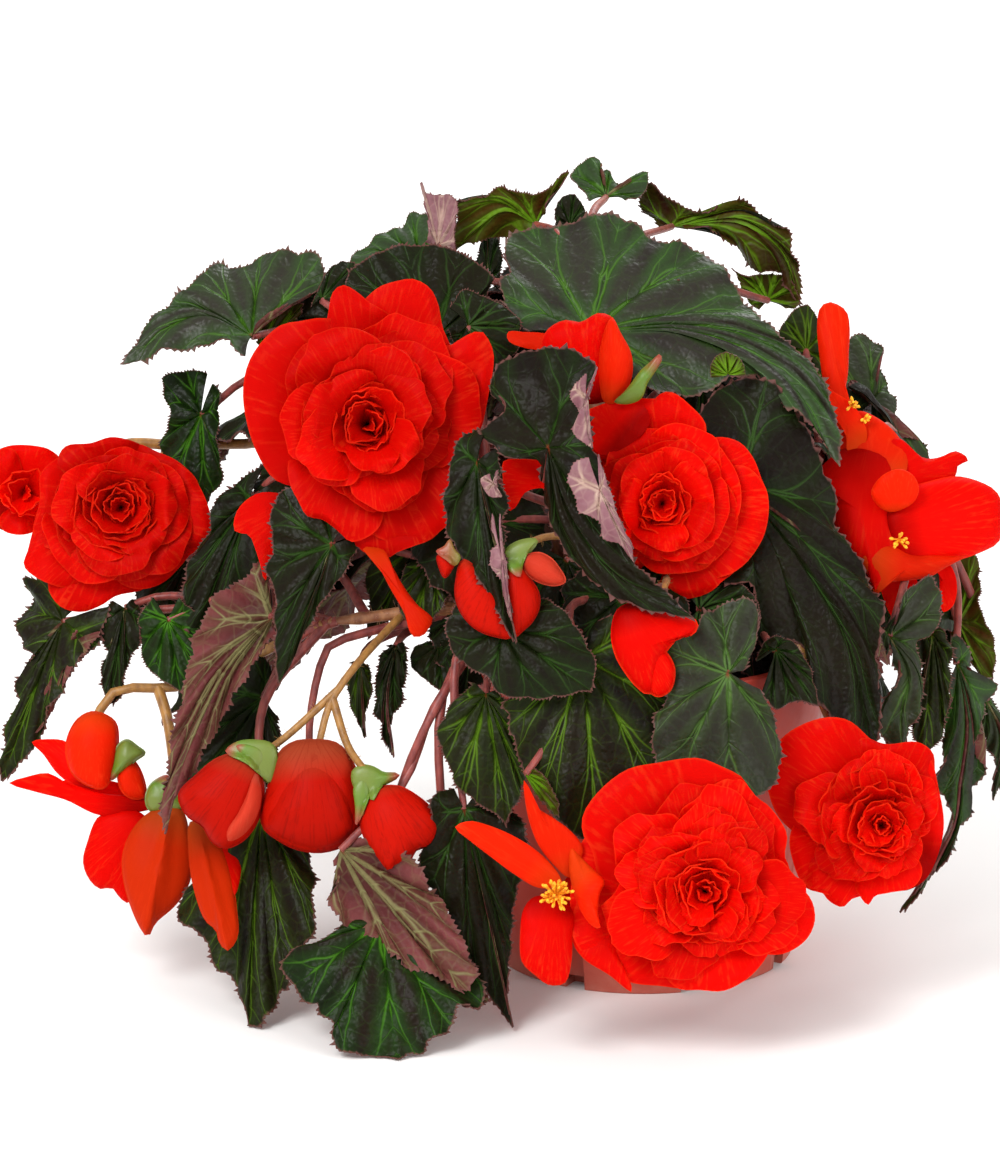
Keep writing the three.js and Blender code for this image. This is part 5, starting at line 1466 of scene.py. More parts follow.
def blade(bm, row, outline, place, rng, tooth, thickness, sides=(0, 1)):
    """Adds one blade: a disc of rings about the hub, its edge toothed, its veins sunk."""
    veins = row.get("veins", 7)
    turns = veins * SECTOR_CELLS
    teeth = turns * (TOOTH_CUTS + 1)
    edge, tip_at, sector = toothed_edge(outline, veins, SECTOR_CELLS * (TOOTH_CUTS + 1))
    length = edge[tip_at].length
    vein_layer, place_layer = plant_layers(bm)
    made = sheet(bm, turns, RINGS)
    outer = {e for v in made for e in v.link_edges if all(w.co.y > NEAR_RIM for w in e.verts)}
    bmesh.ops.subdivide_edges(bm, edges=list(outer), cuts=TOOTH_CUTS)
    made = [vert for vert in bm.verts if not vert[place_layer].z]
    sizes = [rng.uniform(0.2, 1.0) * (1.8 if i % 4 == 1 else 1) for i in range(turns + 1)]
    tooth_size = min(tooth, TOOTH_SHARE * length)
    scallops = max(round(sector * veins / SCALLOP_LENGTH), 1)
    spine = midrib(row, edge[tip_at])
    shares = spine_shares(spine, edge)
    phases = [rng.uniform(*PHASES) for _ in range(3)]
    wave = row.get("wave", 0.045) * length
    tone = rng.random()
    for vert in made:
        u, v = vert.co.x + 0.5, vert.co.y + 0.5
        ring = 1 - (1 - v) ** 1.25
        at = min(round(u * teeth), teeth)
        rim = edge[at]
        size = 0
        if v > RIM:
            cell = min(at // (TOOTH_CUTS + 1), turns)
            size = tooth_size * sizes[cell] * tooth_rise(at, tip_at) ** 1.3
        lobe = tooth_size * ring ** 9 * (abs(math.sin(math.pi * scallops * u + phases[2])) ** 0.6 - 0.5)
        off = rim - along_spine(spine, shares[at])
        out = off if off.length > 2 else rim
        flat = along_spine(spine, shares[at] * ring) + off * ring + out.normalized() * (size + lobe)
        spot, up = place(flat.x, flat.y)
        share = abs((u * veins) % 1 - 0.5)  # 0 on a main vein, 0.5 between two
        ruffle = ring ** 2.5 * wave * sum(
            math.sin(FULL_TURN * count * u + phase) * share
            for (count, share), phase in zip(RUFFLES, phases))
        quilt = 1.3 * min(share / 0.2, 1) ** 0.8 * math.sin(math.pi * min(ring, 0.97)) ** 0.7
        buckle = noise.noise(flat * 0.05 + Vector((tone * 50, 0, 0))) * 3.2 * ring
        buckle += noise.noise(flat * 0.15 + Vector((0, tone * 50, 0))) * 1.1 * ring
        vert.co = spot + up * (ruffle + quilt + buckle)
        vert.co.z = max(vert.co.z, TABLE_GAP)
        vert[vein_layer] = (share, sector * ring, rim.length * ring)
        vert[place_layer] = (ring + (TOOTH_MARK if size else 0), tone, 1)
    close_sheet(bm, made, thickness, *sides)


def make_leaf(name, row, replaced):
    """A leaf: its blade, the parts of its edge that are folded over, and its stalk."""
    sizes = bpy.context.scene.begonia_sizes
    rng = random.Random(name)
    bm = fresh_mesh()
    outline, place = seen_surface(row, row["edge"]) if "edge" in row else heart_surface(row)
    blade(bm, row, outline, place, rng, sizes.tooth, sizes.blade)
    finishes = ["top_" + row.get("skin", "dark"), "under_" + row.get("under", "purple"), "red_stalk"]
    for flap in row.get("flaps", ()):
        near, tip_near = row["hub"][2], row["tip_near"]
        fold = dict(row, hub=read(*flap["hub"], mix(near, tip_near, 0.6) + FLAP_LIFT), spine=(),
                    tip_near=mix(near, tip_near, 0.7) + FLAP_LIFT, sag=FLAP_SAG, veins=FLAP_VEINS,
                    wave=FLAP_WAVE)
        blade(bm, fold, *seen_surface(fold, flap["edge"]), rng, sizes.tooth * FLAP_TOOTH, sizes.blade,
              (3, 3))
        if len(finishes) < 4:
            finishes.append("under_" + flap["side"])
    stalk = stalk_points(name, row, seen(row["hub"]) - heading(row["faces"]) * 0.4)
    tube(bm, stalk, sizes.petiole * 1.2, sizes.petiole * 0.8, material=2)
    return finish_piece(bm, name, [finish(look) for look in finishes], replaced)


# ---- petals, flowers and buds -------------------------------------------------------------------
# Every petal's "place" holds its share of the way from claw to tip, its share of the way from the
# middle to a side, and its share of the way to the rim; the x of its "vein" is the petal's tone.

GOLDEN_TURN = math.radians(137.5)
CLAW = 0.5  # a petal's width where it starts, as a share of its widest
FLAT = 1e-3  # the least bend or cup, in radians
ANTHER = (0.62, 0.62, 1.25)
LOBE_THICKNESS = 0.8
GUARD_WRAP, GUARD_TUCK = math.radians(15), 0.85  # how far a guard petal runs on behind the next
OUTER_PETALS = 8
SEAT = 0.42  # how far behind its centre a head meets its stalk, as a share of its depth
FLOWER_STALK, BUD_STALK, FILAMENT = (1.9, 1.6), (1.4, 1.2), (0.4, 0.3)  # radii at start and end
BUD_HAIRS, BUD_HAIR_FOOT = 40, 1.3


def petal(bm, root, along, facing, length, width, rng, bend, cup, ruffle, cells, thickness):
    """Adds one petal: a closed thin sheet that leaves root along `along`, its inner side `facing`.

    bend turns it back away from facing along its length, and cup rolls its sides towards facing.
    """
    facing = (facing - along * facing.dot(along)).normalized()
    side = along.cross(facing).normalized()
    made = sheet(bm, cells, cells)
    vein_layer, place_layer = plant_layers(bm)
    tone = rng.random()
    waves = [(rng.uniform(*pace), rng.uniform(*PHASES)) for pace in ((0.8, 1.6), (2.2, 3.4))]
    lean = rng.uniform(-0.12, 0.12)
    bend = bend if abs(bend) > FLAT else FLAT
    rolled = max(abs(cup), FLAT)
    for vert in made:
        a, b = vert.co.x * 2, vert.co.y + 0.5
        swell = math.sin(math.pi * mix(0.10, 0.80, b)) ** 0.62
        half = width / 2 * max(mix(CLAW, 1, min(b * 1.7, 1)) * swell, 0.05)
        turn = bend * (b * (1 - 0.24 * a * a * b * b))
        forward, back = length * math.sin(turn) / bend, length * (1 - math.cos(turn)) / bend
        spot = root + along * forward - facing * back
        inner = facing * math.cos(turn) + along * math.sin(turn)
        roll = rolled * a
        reach = half * math.sin(roll) / rolled
        lift = half * (1 - math.cos(roll)) / rolled * math.copysign(1, cup)
        crumple = sum(math.sin(f * math.pi * a + p) for f, p in waves) * ruffle * b ** 3
        flow = math.sin(2.0 * b + waves[0][1]) * ruffle * 0.4 * b
        vert.co = spot + side * (reach + lean * half * b) + inner * (lift + crumple + flow)
        vert[place_layer] = (b, abs(a), max(b, abs(a) * min(b * 3, 1)))
        vert[vein_layer] = (tone, 0, 0)
    thicken(bm, faces_round(made), thickness, 0)


def free_petal(bm, base, tip, facing, width, rng, bend, **shape):
    """Adds a petal whose base and tip are given places."""
    chord = tip - base
    way = chord.normalized()
    inner = (facing - way * facing.dot(way)).normalized()
    along = way * math.cos(bend / 2) + inner * math.sin(bend / 2)
    length = chord.length * (bend / 2) / math.sin(bend / 2)
    petal(bm, base, along, inner * math.cos(bend / 2) - way * math.sin(bend / 2), length, width, rng,
          bend, **shape)


def flat_edge(edge):
    """An edge read off the picture plane as flat points, in the order that faces the viewer."""
    flat = traced(edge)
    return flat[::-1] if signed_area(flat) > 0 else flat


def reach_of(loop, middle):
    """A function for how far a closed line lies from its middle, by direction."""
    marks = sorted(
        (math.atan2(p.y - middle.y, p.x - middle.x), math.hypot(p.x - middle.x, p.y - middle.y))
        for p in loop)
    (first, near), (last, far) = marks[0], marks[-1]
    marks = [(last - FULL_TURN, far), *marks, (first + FULL_TURN, near)]

    def reach(turn):
        turn = (turn + math.pi) % FULL_TURN - math.pi
        at = bisect.bisect(marks, (turn, 0.0))
        (low, near), (high, far) = marks[at - 1], marks[min(at, len(marks) - 1)]
        return mix(near, far, (turn - low) / (high - low) if high > low else 0)

    return reach


def drawn_petal(bm, base, edge, surface, rng, thickness, material=0, rings=9, turns=40, ruffle=0.0):
    """Adds a petal whose edge is read off the picture plane, lying on a surface of given near."""
    vein_layer, place_layer = plant_layers(bm)
    flat = flat_edge(edge)
    root = Vector(read(*base, 0))
    middle = sum(flat, Vector((0, 0, 0))) / len(flat)
    loop = smooth_curve(flat, turns, closed=True)
    tip = max(loop, key=lambda p: (p - root).length)
    reach = (tip - root).length
    way = (tip - root) / reach
    side = Vector((way.y, -way.x, 0))

    def bearing(p):
        return math.atan2((p - root).dot(side), (p - root).dot(way) + 0.25 * reach)

    widest = max(abs(bearing(p)) for p in loop)
    tone = rng.random()
    waves = [(rng.randint(*pace), rng.uniform(*PHASES)) for pace in ((2, 4), (5, 8))]
    made = sheet(bm, turns, rings)
    for vert in made:
        k, v = round((vert.co.x + 0.5) * turns), vert.co.y + 0.5
        ring = 1 - (1 - v) ** 1.35
        spot = middle.lerp(loop[k], ring)
        along = min(max((spot - root).dot(way) / reach, 0), 1)
        across = bearing(spot) / widest
        wave = ruffle * ring ** 3 * sum(math.sin(f * FULL_TURN * k / turns + p) for f, p in waves)
        vert.co = seen((spot.x, spot.y, surface(spot, along, across, ring) + wave))
        vert[place_layer] = (along, abs(across), ring * min(along * 3, 1))
        vert[vein_layer] = (tone, 0, 0)
    close_sheet(bm, made, thickness, material, material)


def lone_petal(bm, spec, rng, thickness):
    """Adds a drawn petal that runs from its claw's near to its end's, bulging to the front."""
    claw_near, tip_near = spec["near"]

    def dome(ring):
        return math.sqrt(max(1 - ring * ring, 0))

    def front(spot, along, across, ring):
        ridge = spec.get("ridge", 0) * max(1 - abs(across) * 4, 0) * (1 - ring ** 4)
        return mix(claw_near, tip_near, along) + spec.get("bulge", 0) * dome(ring) + ridge

    def rear(spot, along, across, ring):
        return mix(claw_near, tip_near, along) - spec["back"] * dome(ring) - 0.3

    for surface, ruffle in ((front, 0.3), (rear, 0.0)) if "back" in spec else ((front, 0.3),):
        drawn_petal(bm, spec["base"], spec["edge"], surface, rng, thickness, spec.get("look", 0),
                    ruffle=ruffle)


def guard_edge(heart, rim):
    """A guard petal's whole edge: its rim, run on behind its neighbours, and its claw at the heart."""
    middle = Vector(heart)
    first, last = Vector(rim[0]) - middle, Vector(rim[-1]) - middle
    turn = math.copysign(GUARD_WRAP, first.cross(last))
    before = middle + Matrix.Rotation(-turn, 2) @ first * GUARD_TUCK
    after = middle + Matrix.Rotation(turn, 2) @ last * GUARD_TUCK
    return [tuple(middle), tuple(before), *rim, tuple(after)]


def guards(bm, row, rng, thickness):
    """Adds the outermost petals, whose rims make the head's outline."""
    near, depth = row["centre"][2], row["depth"]
    for i, rim in enumerate(row["guards"]):
        behind = 1.4 * (i % 3)

        def surface(spot, along, across, ring, behind=behind):
            bowl = near - depth * 0.42 + depth * 0.34 * math.sin(min(along * 1.15, 1) * math.pi * 0.5)
            return bowl - behind - 2.2 * max(ring - 0.75, 0) / 0.25 * (0.6 + 0.4 * math.sin(7 * across))

        drawn_petal(bm, row["heart"], guard_edge(row["heart"], rim), surface, rng, thickness, ruffle=0.8,
                    turns=52, rings=11)


def tiers(bm, row, reach, rng, thickness):
    """Adds rings of broad overlapping petals between the guard petals and the inner spiral."""
    heart, depth, loose = Vector(row["heart"]), row["depth"], row.get("loose", 0.25)
    near = row["centre"][2]

    def round_reach(turn):
        """The guards' reach, evened out over the neighbouring directions."""
        return sum(reach(turn + step * 0.35) for step in range(-3, 4)) / 7

    for level, (share, count) in enumerate(row["tiers"], 1):
        start = rng.uniform(0, FULL_TURN)
        for i in range(count):
            middle = start + (i + rng.uniform(-0.6, 0.6) * loose) * FULL_TURN / count
            half = math.pi / count * rng.uniform(1.25, 1.55)
            size = share * rng.uniform(1 - 0.22 * loose, 1 + 0.22 * loose)
            shift = Vector((rng.uniform(-1, 1), rng.uniform(-1, 1))) * (16 * loose)
            rim = []
            for step in range(7):
                off = step / 3 - 1
                turn = middle + off * half
                jag = 1 - 0.1 * off ** 4 + rng.uniform(-0.025, 0.025)
                lap = size * jag * round_reach(turn) * PICTURE_GRAIN
                rim.append((
                    heart.x + shift.x + math.cos(turn) * lap, heart.y + shift.y - math.sin(turn) * lap))
            rise = depth * (0.16 * level - 0.08) + rng.uniform(-2, 2) * loose
            lean = rng.choice((-1, 1)) * rng.uniform(0.8, 2 + 3 * loose)

            def surface(spot, along, across, ring, rise=rise, lean=lean):
                cup = near - depth * 0.3 + (rise + depth * 0.26) * math.sin(min(along, 1) * math.pi * 0.5)
                return cup + lean * across + 1.6 * across * across - 2.4 * max(along - 0.8, 0) / 0.2

            drawn_petal(bm, row["heart"], guard_edge(row["heart"], rim), surface, rng, thickness,
                        ruffle=0.9)


def head_axes(row):
    """Where the head's heart lies, and its own across, up and out directions."""
    axis = heading(row["faces"])
    if "heart" in row:
        heart = read(*row["heart"], row["centre"][2])
        return seen(heart), RIGHT, RISE, TOWARD
    up = (UP - axis * UP.dot(axis)).normalized()
    return seen(row["centre"]), up.cross(axis), up, axis


def spiral(bm, row, reach, rng, thickness):
    """Adds the inner petals: a golden-angle spiral, closed at the heart and open further out."""
    heart, across, up, axis = head_axes(row)
    depth, count, loose, full = row["depth"], row["inner"], row.get("loose", 0.25), row.get("full", 0.8)
    for i in range(count):
        t = (i + 0.5) / count
        turn = i * GOLDEN_TURN + rng.uniform(-1, 1) * loose
        out = across * math.cos(turn) + up * math.sin(turn)
        spread = reach(turn) * mix(0.06, full, t ** 0.75) * (1 + rng.uniform(-0.5, 0.5) * loose)
        lift = depth * (0.06 + 0.3 * math.sin(math.pi * min(t * 0.8 + 0.05, 1)) - 0.2 * t)
        base = heart - axis * (depth * mix(0.1, 0.34, t)) + out * (spread * 0.12)
        tip = heart + out * spread + axis * (lift + rng.uniform(-4, 4) * loose)
        free_petal(
            bm, base, tip, axis - out * mix(0.9, 0.45, t), max(spread * mix(2.6, 1.5, t), 6),
            rng, bend=mix(-0.6, 0.5, t) + rng.uniform(-1, 1) * loose, cup=mix(1.25, 0.4, t),
            ruffle=mix(0.3, 1.0, t), cells=row.get("cells", 11), thickness=thickness)


def outer_ring(bm, row, reach, rng, thickness):
    """Adds the guard petals of a head that the viewer doesn't see."""
    heart, across, up, axis = head_axes(row)
    for i in range(OUTER_PETALS):
        turn = i * FULL_TURN / OUTER_PETALS + rng.uniform(-0.15, 0.15)
        out = across * math.cos(turn) + up * math.sin(turn)
        base = heart - axis * (row["depth"] * 0.4)
        tip = heart + out * reach(turn) - axis * (row["depth"] * (0.12 + 0.05 * (i % 2)))
        free_petal(bm, base, tip, axis - out * 0.3, reach(turn) * 1.25, rng, bend=0.5, cup=0.35,
                   ruffle=0.9, cells=13, thickness=thickness)


def tuft(bm, spec, rng, material):
    """Adds a tuft of stamens: short filaments, each with a plump anther."""
    (right, down), near, spread, count = spec
    centre = seen(read(right, down, near))
    for _ in range(count):
        turn, lean = rng.uniform(0, FULL_TURN), rng.uniform(0, 1) ** 0.6
        way = (TOWARD * 0.8 + beside(TOWARD, turn) * lean).normalized()
        top = centre + way * spread * rng.uniform(0.6, 1.05)
        tube(bm, [centre, centre.lerp(top, 0.5), top], *FILAMENT, sides=5, material=material)
        ball = bmesh.ops.create_icosphere(bm, subdivisions=1, radius=1.0)["verts"]
        spin = way.to_track_quat("Z", "Y").to_matrix()
        for vert in ball:
            vert.co = top + spin @ scaled(vert.co, ANTHER)
        paint(faces_round(ball), material)


# A drawn petal's look is its place in these lists.
HEAD_FINISHES = ("scarlet", "orange", "hanging", "calyx", "flower_stalk", "anther")
BUD_FINISHES = ("bud", "calyx", "flower_stalk", "bud_pale", "scarlet")


def make_head(name, row):
    """A flower: guard petals, the tiers and the spiral in them, single petals, stamens and stalk."""
    sizes = bpy.context.scene.begonia_sizes
    rng = random.Random(name)
    bm = fresh_mesh()
    if "guards" in row:
        guards(bm, row, rng, sizes.petal)
        middle = Vector(read(*row["heart"], 0))
        reach = reach_of(traced(point for rim in row["guards"] for point in rim), middle)
    elif "width" in row:
        def reach(turn):
            return math.hypot(row["width"] / 2 * math.cos(turn), row["length"] / 2 * math.sin(turn))
        outer_ring(bm, row, reach, rng, sizes.petal)
    if "tiers" in row:
        tiers(bm, row, reach, rng, sizes.petal)
    if "inner" in row:
        spiral(bm, row, reach, rng, sizes.petal)
    for spec in row.get("drawn", ()):
        lone_petal(bm, spec, rng, sizes.petal)
    for spec in row.get("tufts", ()):
        tuft(bm, spec, rng, HEAD_FINISHES.index("anther"))
    stalk = stalk_points(name, row, seen(row["centre"]) - heading(row["faces"]) * (SEAT * row["depth"]))
    tube(bm, stalk, *FLOWER_STALK, material=HEAD_FINISHES.index("flower_stalk"))
    finishes = [finish(look) for look in HEAD_FINISHES]
    # A head deep in shadow takes the darker crimson petals: painted shade.
    if row.get("deep_shade"):
        finishes[0] = finish("crimson")
    return finish_piece(bm, name, finishes, [name], crease=60)


def make_bud(name, row):
    """Closed petals, each bulging to the front and back, the calyx lobes on them and the stalk."""
    sizes = bpy.context.scene.begonia_sizes
    rng = random.Random(name)
    bm = fresh_mesh()
    near = row["near"]
    covers = []
    for shell in row["shells"]:
        flat = flat_edge(shell["edge"])
        middle = sum(flat, Vector((0, 0, 0))) / len(flat)
        reach = reach_of(smooth_curve(flat, 60, closed=True), middle)

        def skin(spot, middle=middle, reach=reach, bulge=shell["bulge"]):
            away = spot - middle
            share = away.length / reach(math.atan2(away.y, away.x)) if away.length else 0
            return bulge * math.sqrt(max(1 - share * share, 0))

        covers.append(skin)
        for sign in (1, -1):
            def surface(spot, along, across, ring, sign=sign, skin=skin):
                return near + sign * skin(spot)
            drawn_petal(bm, row["neck"], shell["edge"], surface, rng, sizes.petal, shell.get("look", 0),
                        rings=10, turns=44)
    for sign, lobes in ((1, row.get("lobes", ())), (-1, row.get("lobes", ())[:1])):
        for i, lobe in enumerate(lobes):
            def surface(spot, along, across, ring, sign=sign, i=i):
                over = max(skin(spot) for skin in covers)
                return near + sign * (over + 1.0 + 0.5 * i + 1.2 * math.sqrt(max(1 - ring * ring, 0)))
            drawn_petal(bm, row["neck"], lobe, surface, rng, LOBE_THICKNESS, BUD_FINISHES.index("calyx"),
                        turns=28, rings=5)
    stalk = stalk_points(name, row, seen(read(*row["neck"], near)))
    slot = BUD_FINISHES.index("flower_stalk")
    tube(bm, stalk, *BUD_STALK, material=slot)
    fine_hairs(bm, stalk, BUD_HAIR_FOOT, rng, BUD_HAIRS, slot)
    return finish_piece(bm, name, [finish(look) for look in BUD_FINISHES], [name], crease=60)


# ---- stems, pot, soil ---------------------------------------------------------------------------

STEM_STEPS, STEM_SIDES, STEM_HAIRS = 40, 14, 150


def make_stem(name):
    """A main stem along its course, thicker at its nodes, with fine hairs."""
    sizes = bpy.context.scene.begonia_sizes
    points = smooth_curve([Vector(p) for p in STEMS[name]], STEM_STEPS)
    carriers[name] = points
    bm = fresh_mesh()

    def swell(share):
        """The stem thickens at each node and tapers into its tip."""
        return (1 - 0.55 * share ** 4) + 0.22 * math.exp(-((((share * 4) % 1) - 0.5) / 0.12) ** 2)

    tube(bm, points, sizes.stem_low, sizes.stem_high, sides=STEM_SIDES, swell=swell)
    middle = mix(sizes.stem_low, sizes.stem_high, 0.6)
    fine_hairs(bm, points, middle, random.Random(name), STEM_HAIRS)
    return finish_piece(bm, name, [finish("stem")], [name])


POT_HEIGHT, POT_BASE, POT_TOP, POT_WALL, POT_FLOOR = 110, 50, 65, 1.8, 2.4
RIM_DEPTH, RIM_OUT, RIM_ROUND = 12, 1.6, 0.7
SPIN_STEPS, ROUND_STEPS = 96, 4
NOTCHES, NOTCH_START = 8, math.radians(-117)
NOTCH_SIZE = (14, 7, 10)  # half of it reaches in and up from the foot's edge
SOIL_TOP, SOIL_FLOOR, SOIL_GAP = 98, 2.8, 0.3
SOIL_SPOKES, SOIL_RINGS, SOIL_EDGE = 90, 26, 0.8  # the edge: the share of the rings on the top
CRUMB_REACH = 57
TUBER_SIZE, TUBER_PLACE = (20.5, 20.5, 8.8), (0, 0, 97)


def wall_radius(z):
    """The wall's outer radius at a height."""
    return mix(POT_BASE, POT_TOP - RIM_OUT, z / POT_HEIGHT)


def spun(bm, profile):
    """Spins a closed outline of (radius, height) round Z, merging what meets on the axis."""
    verts = [bm.verts.new((r, 0, z)) for r, z in profile]
    edges = [bm.edges.new(pair) for pair in zip(verts, verts[1:])]
    bmesh.ops.spin(bm, geom=verts + edges, cent=(0, 0, 0), axis=(0, 0, 1), dvec=(0, 0, 0),
                   angle=FULL_TURN, steps=SPIN_STEPS, use_merge=True)
    weld(bm, bm.verts)
    bmesh.ops.recalc_face_normals(bm, faces=bm.faces)


def rounded(corner, before, after, radius):
    """Points that round a corner of an outline."""
    corner, before, after = Vector(corner), Vector(before), Vector(after)
    start = corner + (before - corner).normalized() * radius
    end = corner + (after - corner).normalized() * radius
    points = []
    for i in range(ROUND_STEPS + 1):
        t = i / ROUND_STEPS
        points.append(tuple(start * (1 - t) ** 2 + corner * (2 * t * (1 - t)) + end * t ** 2))
    return points


def make_pot():
    """The pot: a turned wall with a rolled rim, and drain notches cut out of its foot."""
    low_rim = POT_HEIGHT - RIM_DEPTH
    corners = [
        (0, 0), (POT_BASE, 0), (wall_radius(low_rim), low_rim),
        (wall_radius(low_rim) + RIM_OUT, low_rim + 0.6), (POT_TOP, POT_HEIGHT),
        (wall_radius(POT_HEIGHT) - POT_WALL, POT_HEIGHT), (wall_radius(POT_FLOOR) - POT_WALL, POT_FLOOR),
        (0, POT_FLOOR)]
    profile = [corners[0]]
    for before, corner, after in zip(corners, corners[1:], corners[2:]):
        profile += rounded(corner, before, after, RIM_ROUND)
    profile.append(corners[-1])
    bm = fresh_mesh()
    spun(bm, profile)
    pot = finish_piece(bm, "pot_body", [finish("pot")], ["pot"], crease=40)
    cutters = bmesh.new()
    for i in range(NOTCHES):
        made = bmesh.ops.create_cube(cutters, size=1)["verts"]
        turn = Matrix.Rotation(NOTCH_START + i * FULL_TURN / NOTCHES, 4, "Z")
        for vert in made:
            vert.co = turn @ (scaled(vert.co, NOTCH_SIZE) + RIGHT * POT_BASE) * MM
    cut_away(pot, cutters)
    return pot


def cut_away(piece, cutters):
    """Cuts a bmesh of cutters out of a piece, for good."""
    tool = placed("cutters", mesh_of(cutters, "cutters"))
    cut = piece.modifiers.new("cut", "BOOLEAN")
    cut.operation, cut.solver, cut.object = "DIFFERENCE", "EXACT", tool
    bpy.context.view_layer.update()
    shaped = bpy.data.meshes.new_from_object(piece.evaluated_get(bpy.context.evaluated_depsgraph_get()))
    piece.modifiers.clear()
    piece.data = shaped
    bpy.data.objects.remove(tool)


def make_soil():
    """The peat mix: a rough crumbly top, smooth where the pot moulded it."""
    bm = fresh_mesh()
    top_radius, low_radius = (
        wall_radius(height) - POT_WALL - SOIL_GAP for height in (SOIL_TOP, SOIL_FLOOR))
    for vert in sheet(bm, SOIL_SPOKES, SOIL_RINGS):
        turn = (vert.co.x + 0.5) * FULL_TURN
        v = vert.co.y + 0.5
        if v < SOIL_EDGE:
            radius = top_radius * v / SOIL_EDGE
            spot = Vector((radius * math.cos(turn), radius * math.sin(turn), SOIL_TOP))
            rough = noise.fractal(spot * 0.12, 0.8, 2.1, 4) * 2.4
            vert.co = spot + UP * (rough * (1 - v / SOIL_EDGE) ** 0.2 - 0.6)
        elif v < 0.99:
            share = (v - SOIL_EDGE) / 0.2
            radius = mix(top_radius, low_radius, share)
            height = mix(SOIL_TOP - 1, SOIL_FLOOR, share)
            vert.co = (radius * math.cos(turn), radius * math.sin(turn), height)
        else:
            vert.co = (0, 0, SOIL_FLOOR)
    weld(bm, bm.verts)
    bmesh.ops.recalc_face_normals(bm, faces=bm.faces)
    finish_piece(bm, "soil_peat", [finish("soil")], ["soil"], crease=60)
    rng = random.Random("crumbs")
    crumbs = bpy.context.scene.begonia_sizes.crumbs
    for name, count, low, high, look in (
            ("soil_crumbs", crumbs, 0.8, 2.6, "soil"),
            ("soil_perlite", crumbs // 5, 0.7, 1.7, "perlite")):
        bits = fresh_mesh()
        for _ in range(count):
            turn, radius = rng.uniform(0, FULL_TURN), CRUMB_REACH * math.sqrt(rng.uniform(0.12, 1))
            size = rng.uniform(low, high)
            spot = Vector((radius * math.cos(turn), radius * math.sin(turn), SOIL_TOP + size * 0.35))
            ball = bmesh.ops.create_icosphere(bits, subdivisions=1, radius=size)["verts"]
            for vert in ball:
                vert.co = spot + vert.co * (1 + 0.45 * noise.noise(vert.co * 0.9 + spot))
        finish_piece(bits, name, [finish(look)], crease=80)


def make_tuber():
    """The lumpy tuber, half sunk in the mix."""
    bm = fresh_mesh()
    ball = bmesh.ops.create_icosphere(bm, subdivisions=4, radius=1)["verts"]
    for vert in ball:
        lump = 1 + 0.09 * noise.fractal(vert.co * 1.7, 0.9, 2.0, 4)
        vert.co = scaled(vert.co, TUBER_SIZE) * lump + Vector(TUBER_PLACE)
    finish_piece(bm, "tuber_crown", [finish("tuber")], ["tuber"])


# ---- stage --------------------------------------------------------------------------------------

def paper_material():
    """Matt white backdrop paper, which takes a soft shadow and no shine."""
    material, tree = new_material("studio_paper")
    shader = add(tree, "BsdfPrincipled", {"Base Color": linear("#f7f6f4"), "Roughness": 0.9})
    add(tree, "OutputMaterial", {"Surface": shader})
    return material


def make_stage():
    """A plain pale floor, soft lights and the camera at the layout's own angle."""
    scene = bpy.context.scene
    bm = bmesh.new()
    bmesh.ops.create_grid(bm, x_segments=1, y_segments=1, size=6.0)
    floor = placed("studio_floor", mesh_of(bm, "studio_floor"))
    floor.data.materials.append(paper_material())

    world = bpy.data.worlds.new("studio_air")
    scene.world = world
    world.use_nodes = True
    background = world.node_tree.nodes["Background"]
    background.inputs["Color"].default_value = (1, 1, 1, 1)
    background.inputs["Strength"].default_value = 0.75

    centre = Vector((-0.045, 0.0, 0.13))
    for name, place, size, power in (
            ("key_softbox", (-0.9, -1.3, 1.5), 0.9, 34),
            ("fill_softbox", (1.3, -1.2, 0.8), 1.2, 12),
            ("back_softbox", (0.5, 1.4, 1.4), 0.9, 18)):
        lamp = bpy.data.lights.new(name, "AREA")
        lamp.size, lamp.energy = size, power
        light = placed(name, lamp)
        light.location = place
        light.rotation_euler = (centre - Vector(place)).to_track_quat("-Z", "Y").to_euler()

    camera_data = bpy.data.cameras.new("picture_camera")
    camera_data.sensor_width = SENSOR
    camera_data.lens = SENSOR * VIEW_DISTANCE / PICTURE_HEIGHT
    camera_data.clip_end = 50
    camera = placed("picture_camera", camera_data)
    camera.location = (seen((*VIEW_AIM, 0)) + TOWARD * VIEW_DISTANCE) * MM
    camera.rotation_euler = (-TOWARD).to_track_quat("-Z", "Y").to_euler()
    scene.camera = camera
    scene.view_settings.view_transform = "Standard"


# ---- add-on -------------------------------------------------------------------------------------

class BEGONIA_OT_stage(bpy.types.Operator):
    """Make the floor, lights and camera"""
    bl_idname = "begonia.stage"
    bl_label = "Stage"

    def execute(self, context):
        make_stage()
        return {"FINISHED"}


class BEGONIA_OT_pot(bpy.types.Operator):
    """Make the nursery pot with its drain notches"""
    bl_idname = "begonia.pot"
    bl_label = "Pot"

    def execute(self, context):
        make_pot()
        return {"FINISHED"}


class BEGONIA_OT_soil(bpy.types.Operator):
    """Make the peat mix, its crumbs and the half-sunk tuber"""
    bl_idname = "begonia.soil"
    bl_label = "Soil and tuber"

    def execute(self, context):
        make_soil()
        make_tuber()
        return {"FINISHED"}


class BEGONIA_OT_stems(bpy.types.Operator):
    """Make the main stems that carry everything else"""
    bl_idname = "begonia.stems"
    bl_label = "Stems"

    def execute(self, context):
        for name in STEMS:
            make_stem(name)
        return {"FINISHED"}


class BEGONIA_OT_buds(bpy.types.Operator):
    """Make the closed buds with their calyces"""
    bl_idname = "begonia.buds"
    bl_label = "Buds"

    def execute(self, context):
        for name, row in BUDS.items():
            make_bud(name, row)
        return {"FINISHED"}


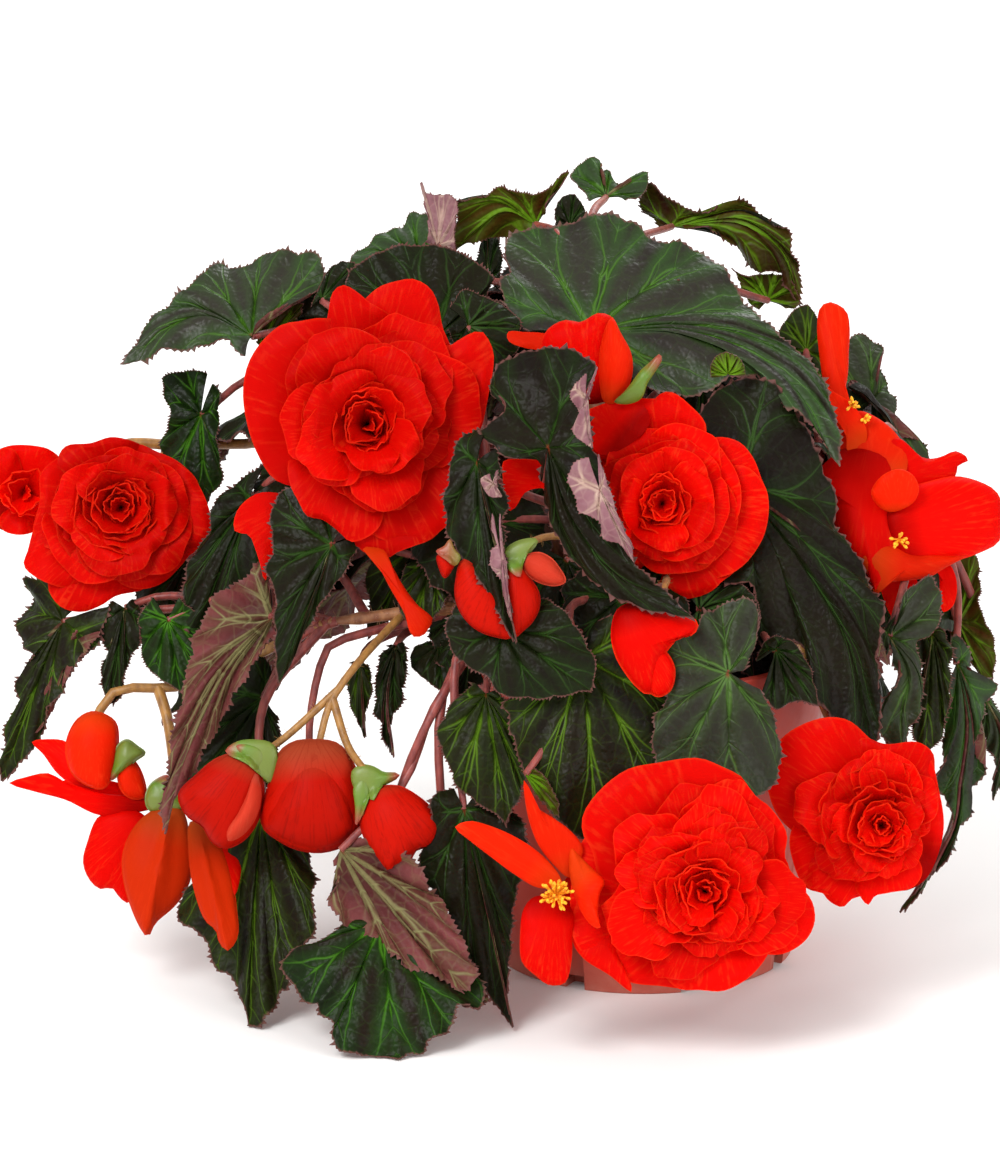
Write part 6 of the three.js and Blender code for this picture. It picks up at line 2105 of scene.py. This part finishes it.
class BEGONIA_OT_flowers(bpy.types.Operator):
    """Make the flowers, double and single"""
    bl_idname = "begonia.flowers"
    bl_label = "Flowers"

    def execute(self, context):
        for name, row in HEADS.items():
            make_head(name, row)
        return {"FINISHED"}


class BEGONIA_OT_leaves(bpy.types.Operator):
    """Make every leaf with its stalk"""
    bl_idname = "begonia.leaves"
    bl_label = "Leaves"

    def execute(self, context):
        for name, row in LEAVES.items():
            make_leaf(name, row, [name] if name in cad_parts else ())
        for number, (on, hub, tip, halves, faces, skin) in enumerate(SHADE_LEAVES, 1):
            row = dict(on=on, hub=hub, tip=tip, halves=halves, faces=faces, skin=skin, lobes=0.35)
            make_leaf(f"leaf_shade_{number:02d}", row, ())
        return {"FINISHED"}


OPERATORS = (
    BEGONIA_OT_stage, BEGONIA_OT_pot, BEGONIA_OT_soil, BEGONIA_OT_stems, BEGONIA_OT_buds,
    BEGONIA_OT_flowers, BEGONIA_OT_leaves)


class BEGONIA_PT_panel(bpy.types.Panel):
    """Lists the plant's sizes, colours and making steps"""
    bl_idname = "BEGONIA_PT_panel"
    bl_label = "Potted begonia"
    bl_space_type = "VIEW_3D"
    bl_region_type = "UI"
    bl_category = "Begonia"

    def draw(self, context):
        for group in (context.scene.begonia_sizes, context.scene.begonia_colours):
            for key in group.__annotations__:
                self.layout.prop(group, key)
        for operator in OPERATORS:
            self.layout.operator(operator.bl_idname)


CLASSES = (BegoniaSizes, BegoniaColours, *OPERATORS, BEGONIA_PT_panel)


def register():
    for cls in CLASSES:
        bpy.utils.register_class(cls)
    bpy.types.Scene.begonia_sizes = PointerProperty(type=BegoniaSizes)
    bpy.types.Scene.begonia_colours = PointerProperty(type=BegoniaColours)


def unregister():
    del bpy.types.Scene.begonia_colours
    del bpy.types.Scene.begonia_sizes
    for cls in reversed(CLASSES):
        bpy.utils.unregister_class(cls)


def main():
    register()
    for operator in OPERATORS:
        area, action = operator.bl_idname.split(".")
        getattr(getattr(bpy.ops, area), action)()
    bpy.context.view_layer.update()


if __name__ == "__main__":
    main()
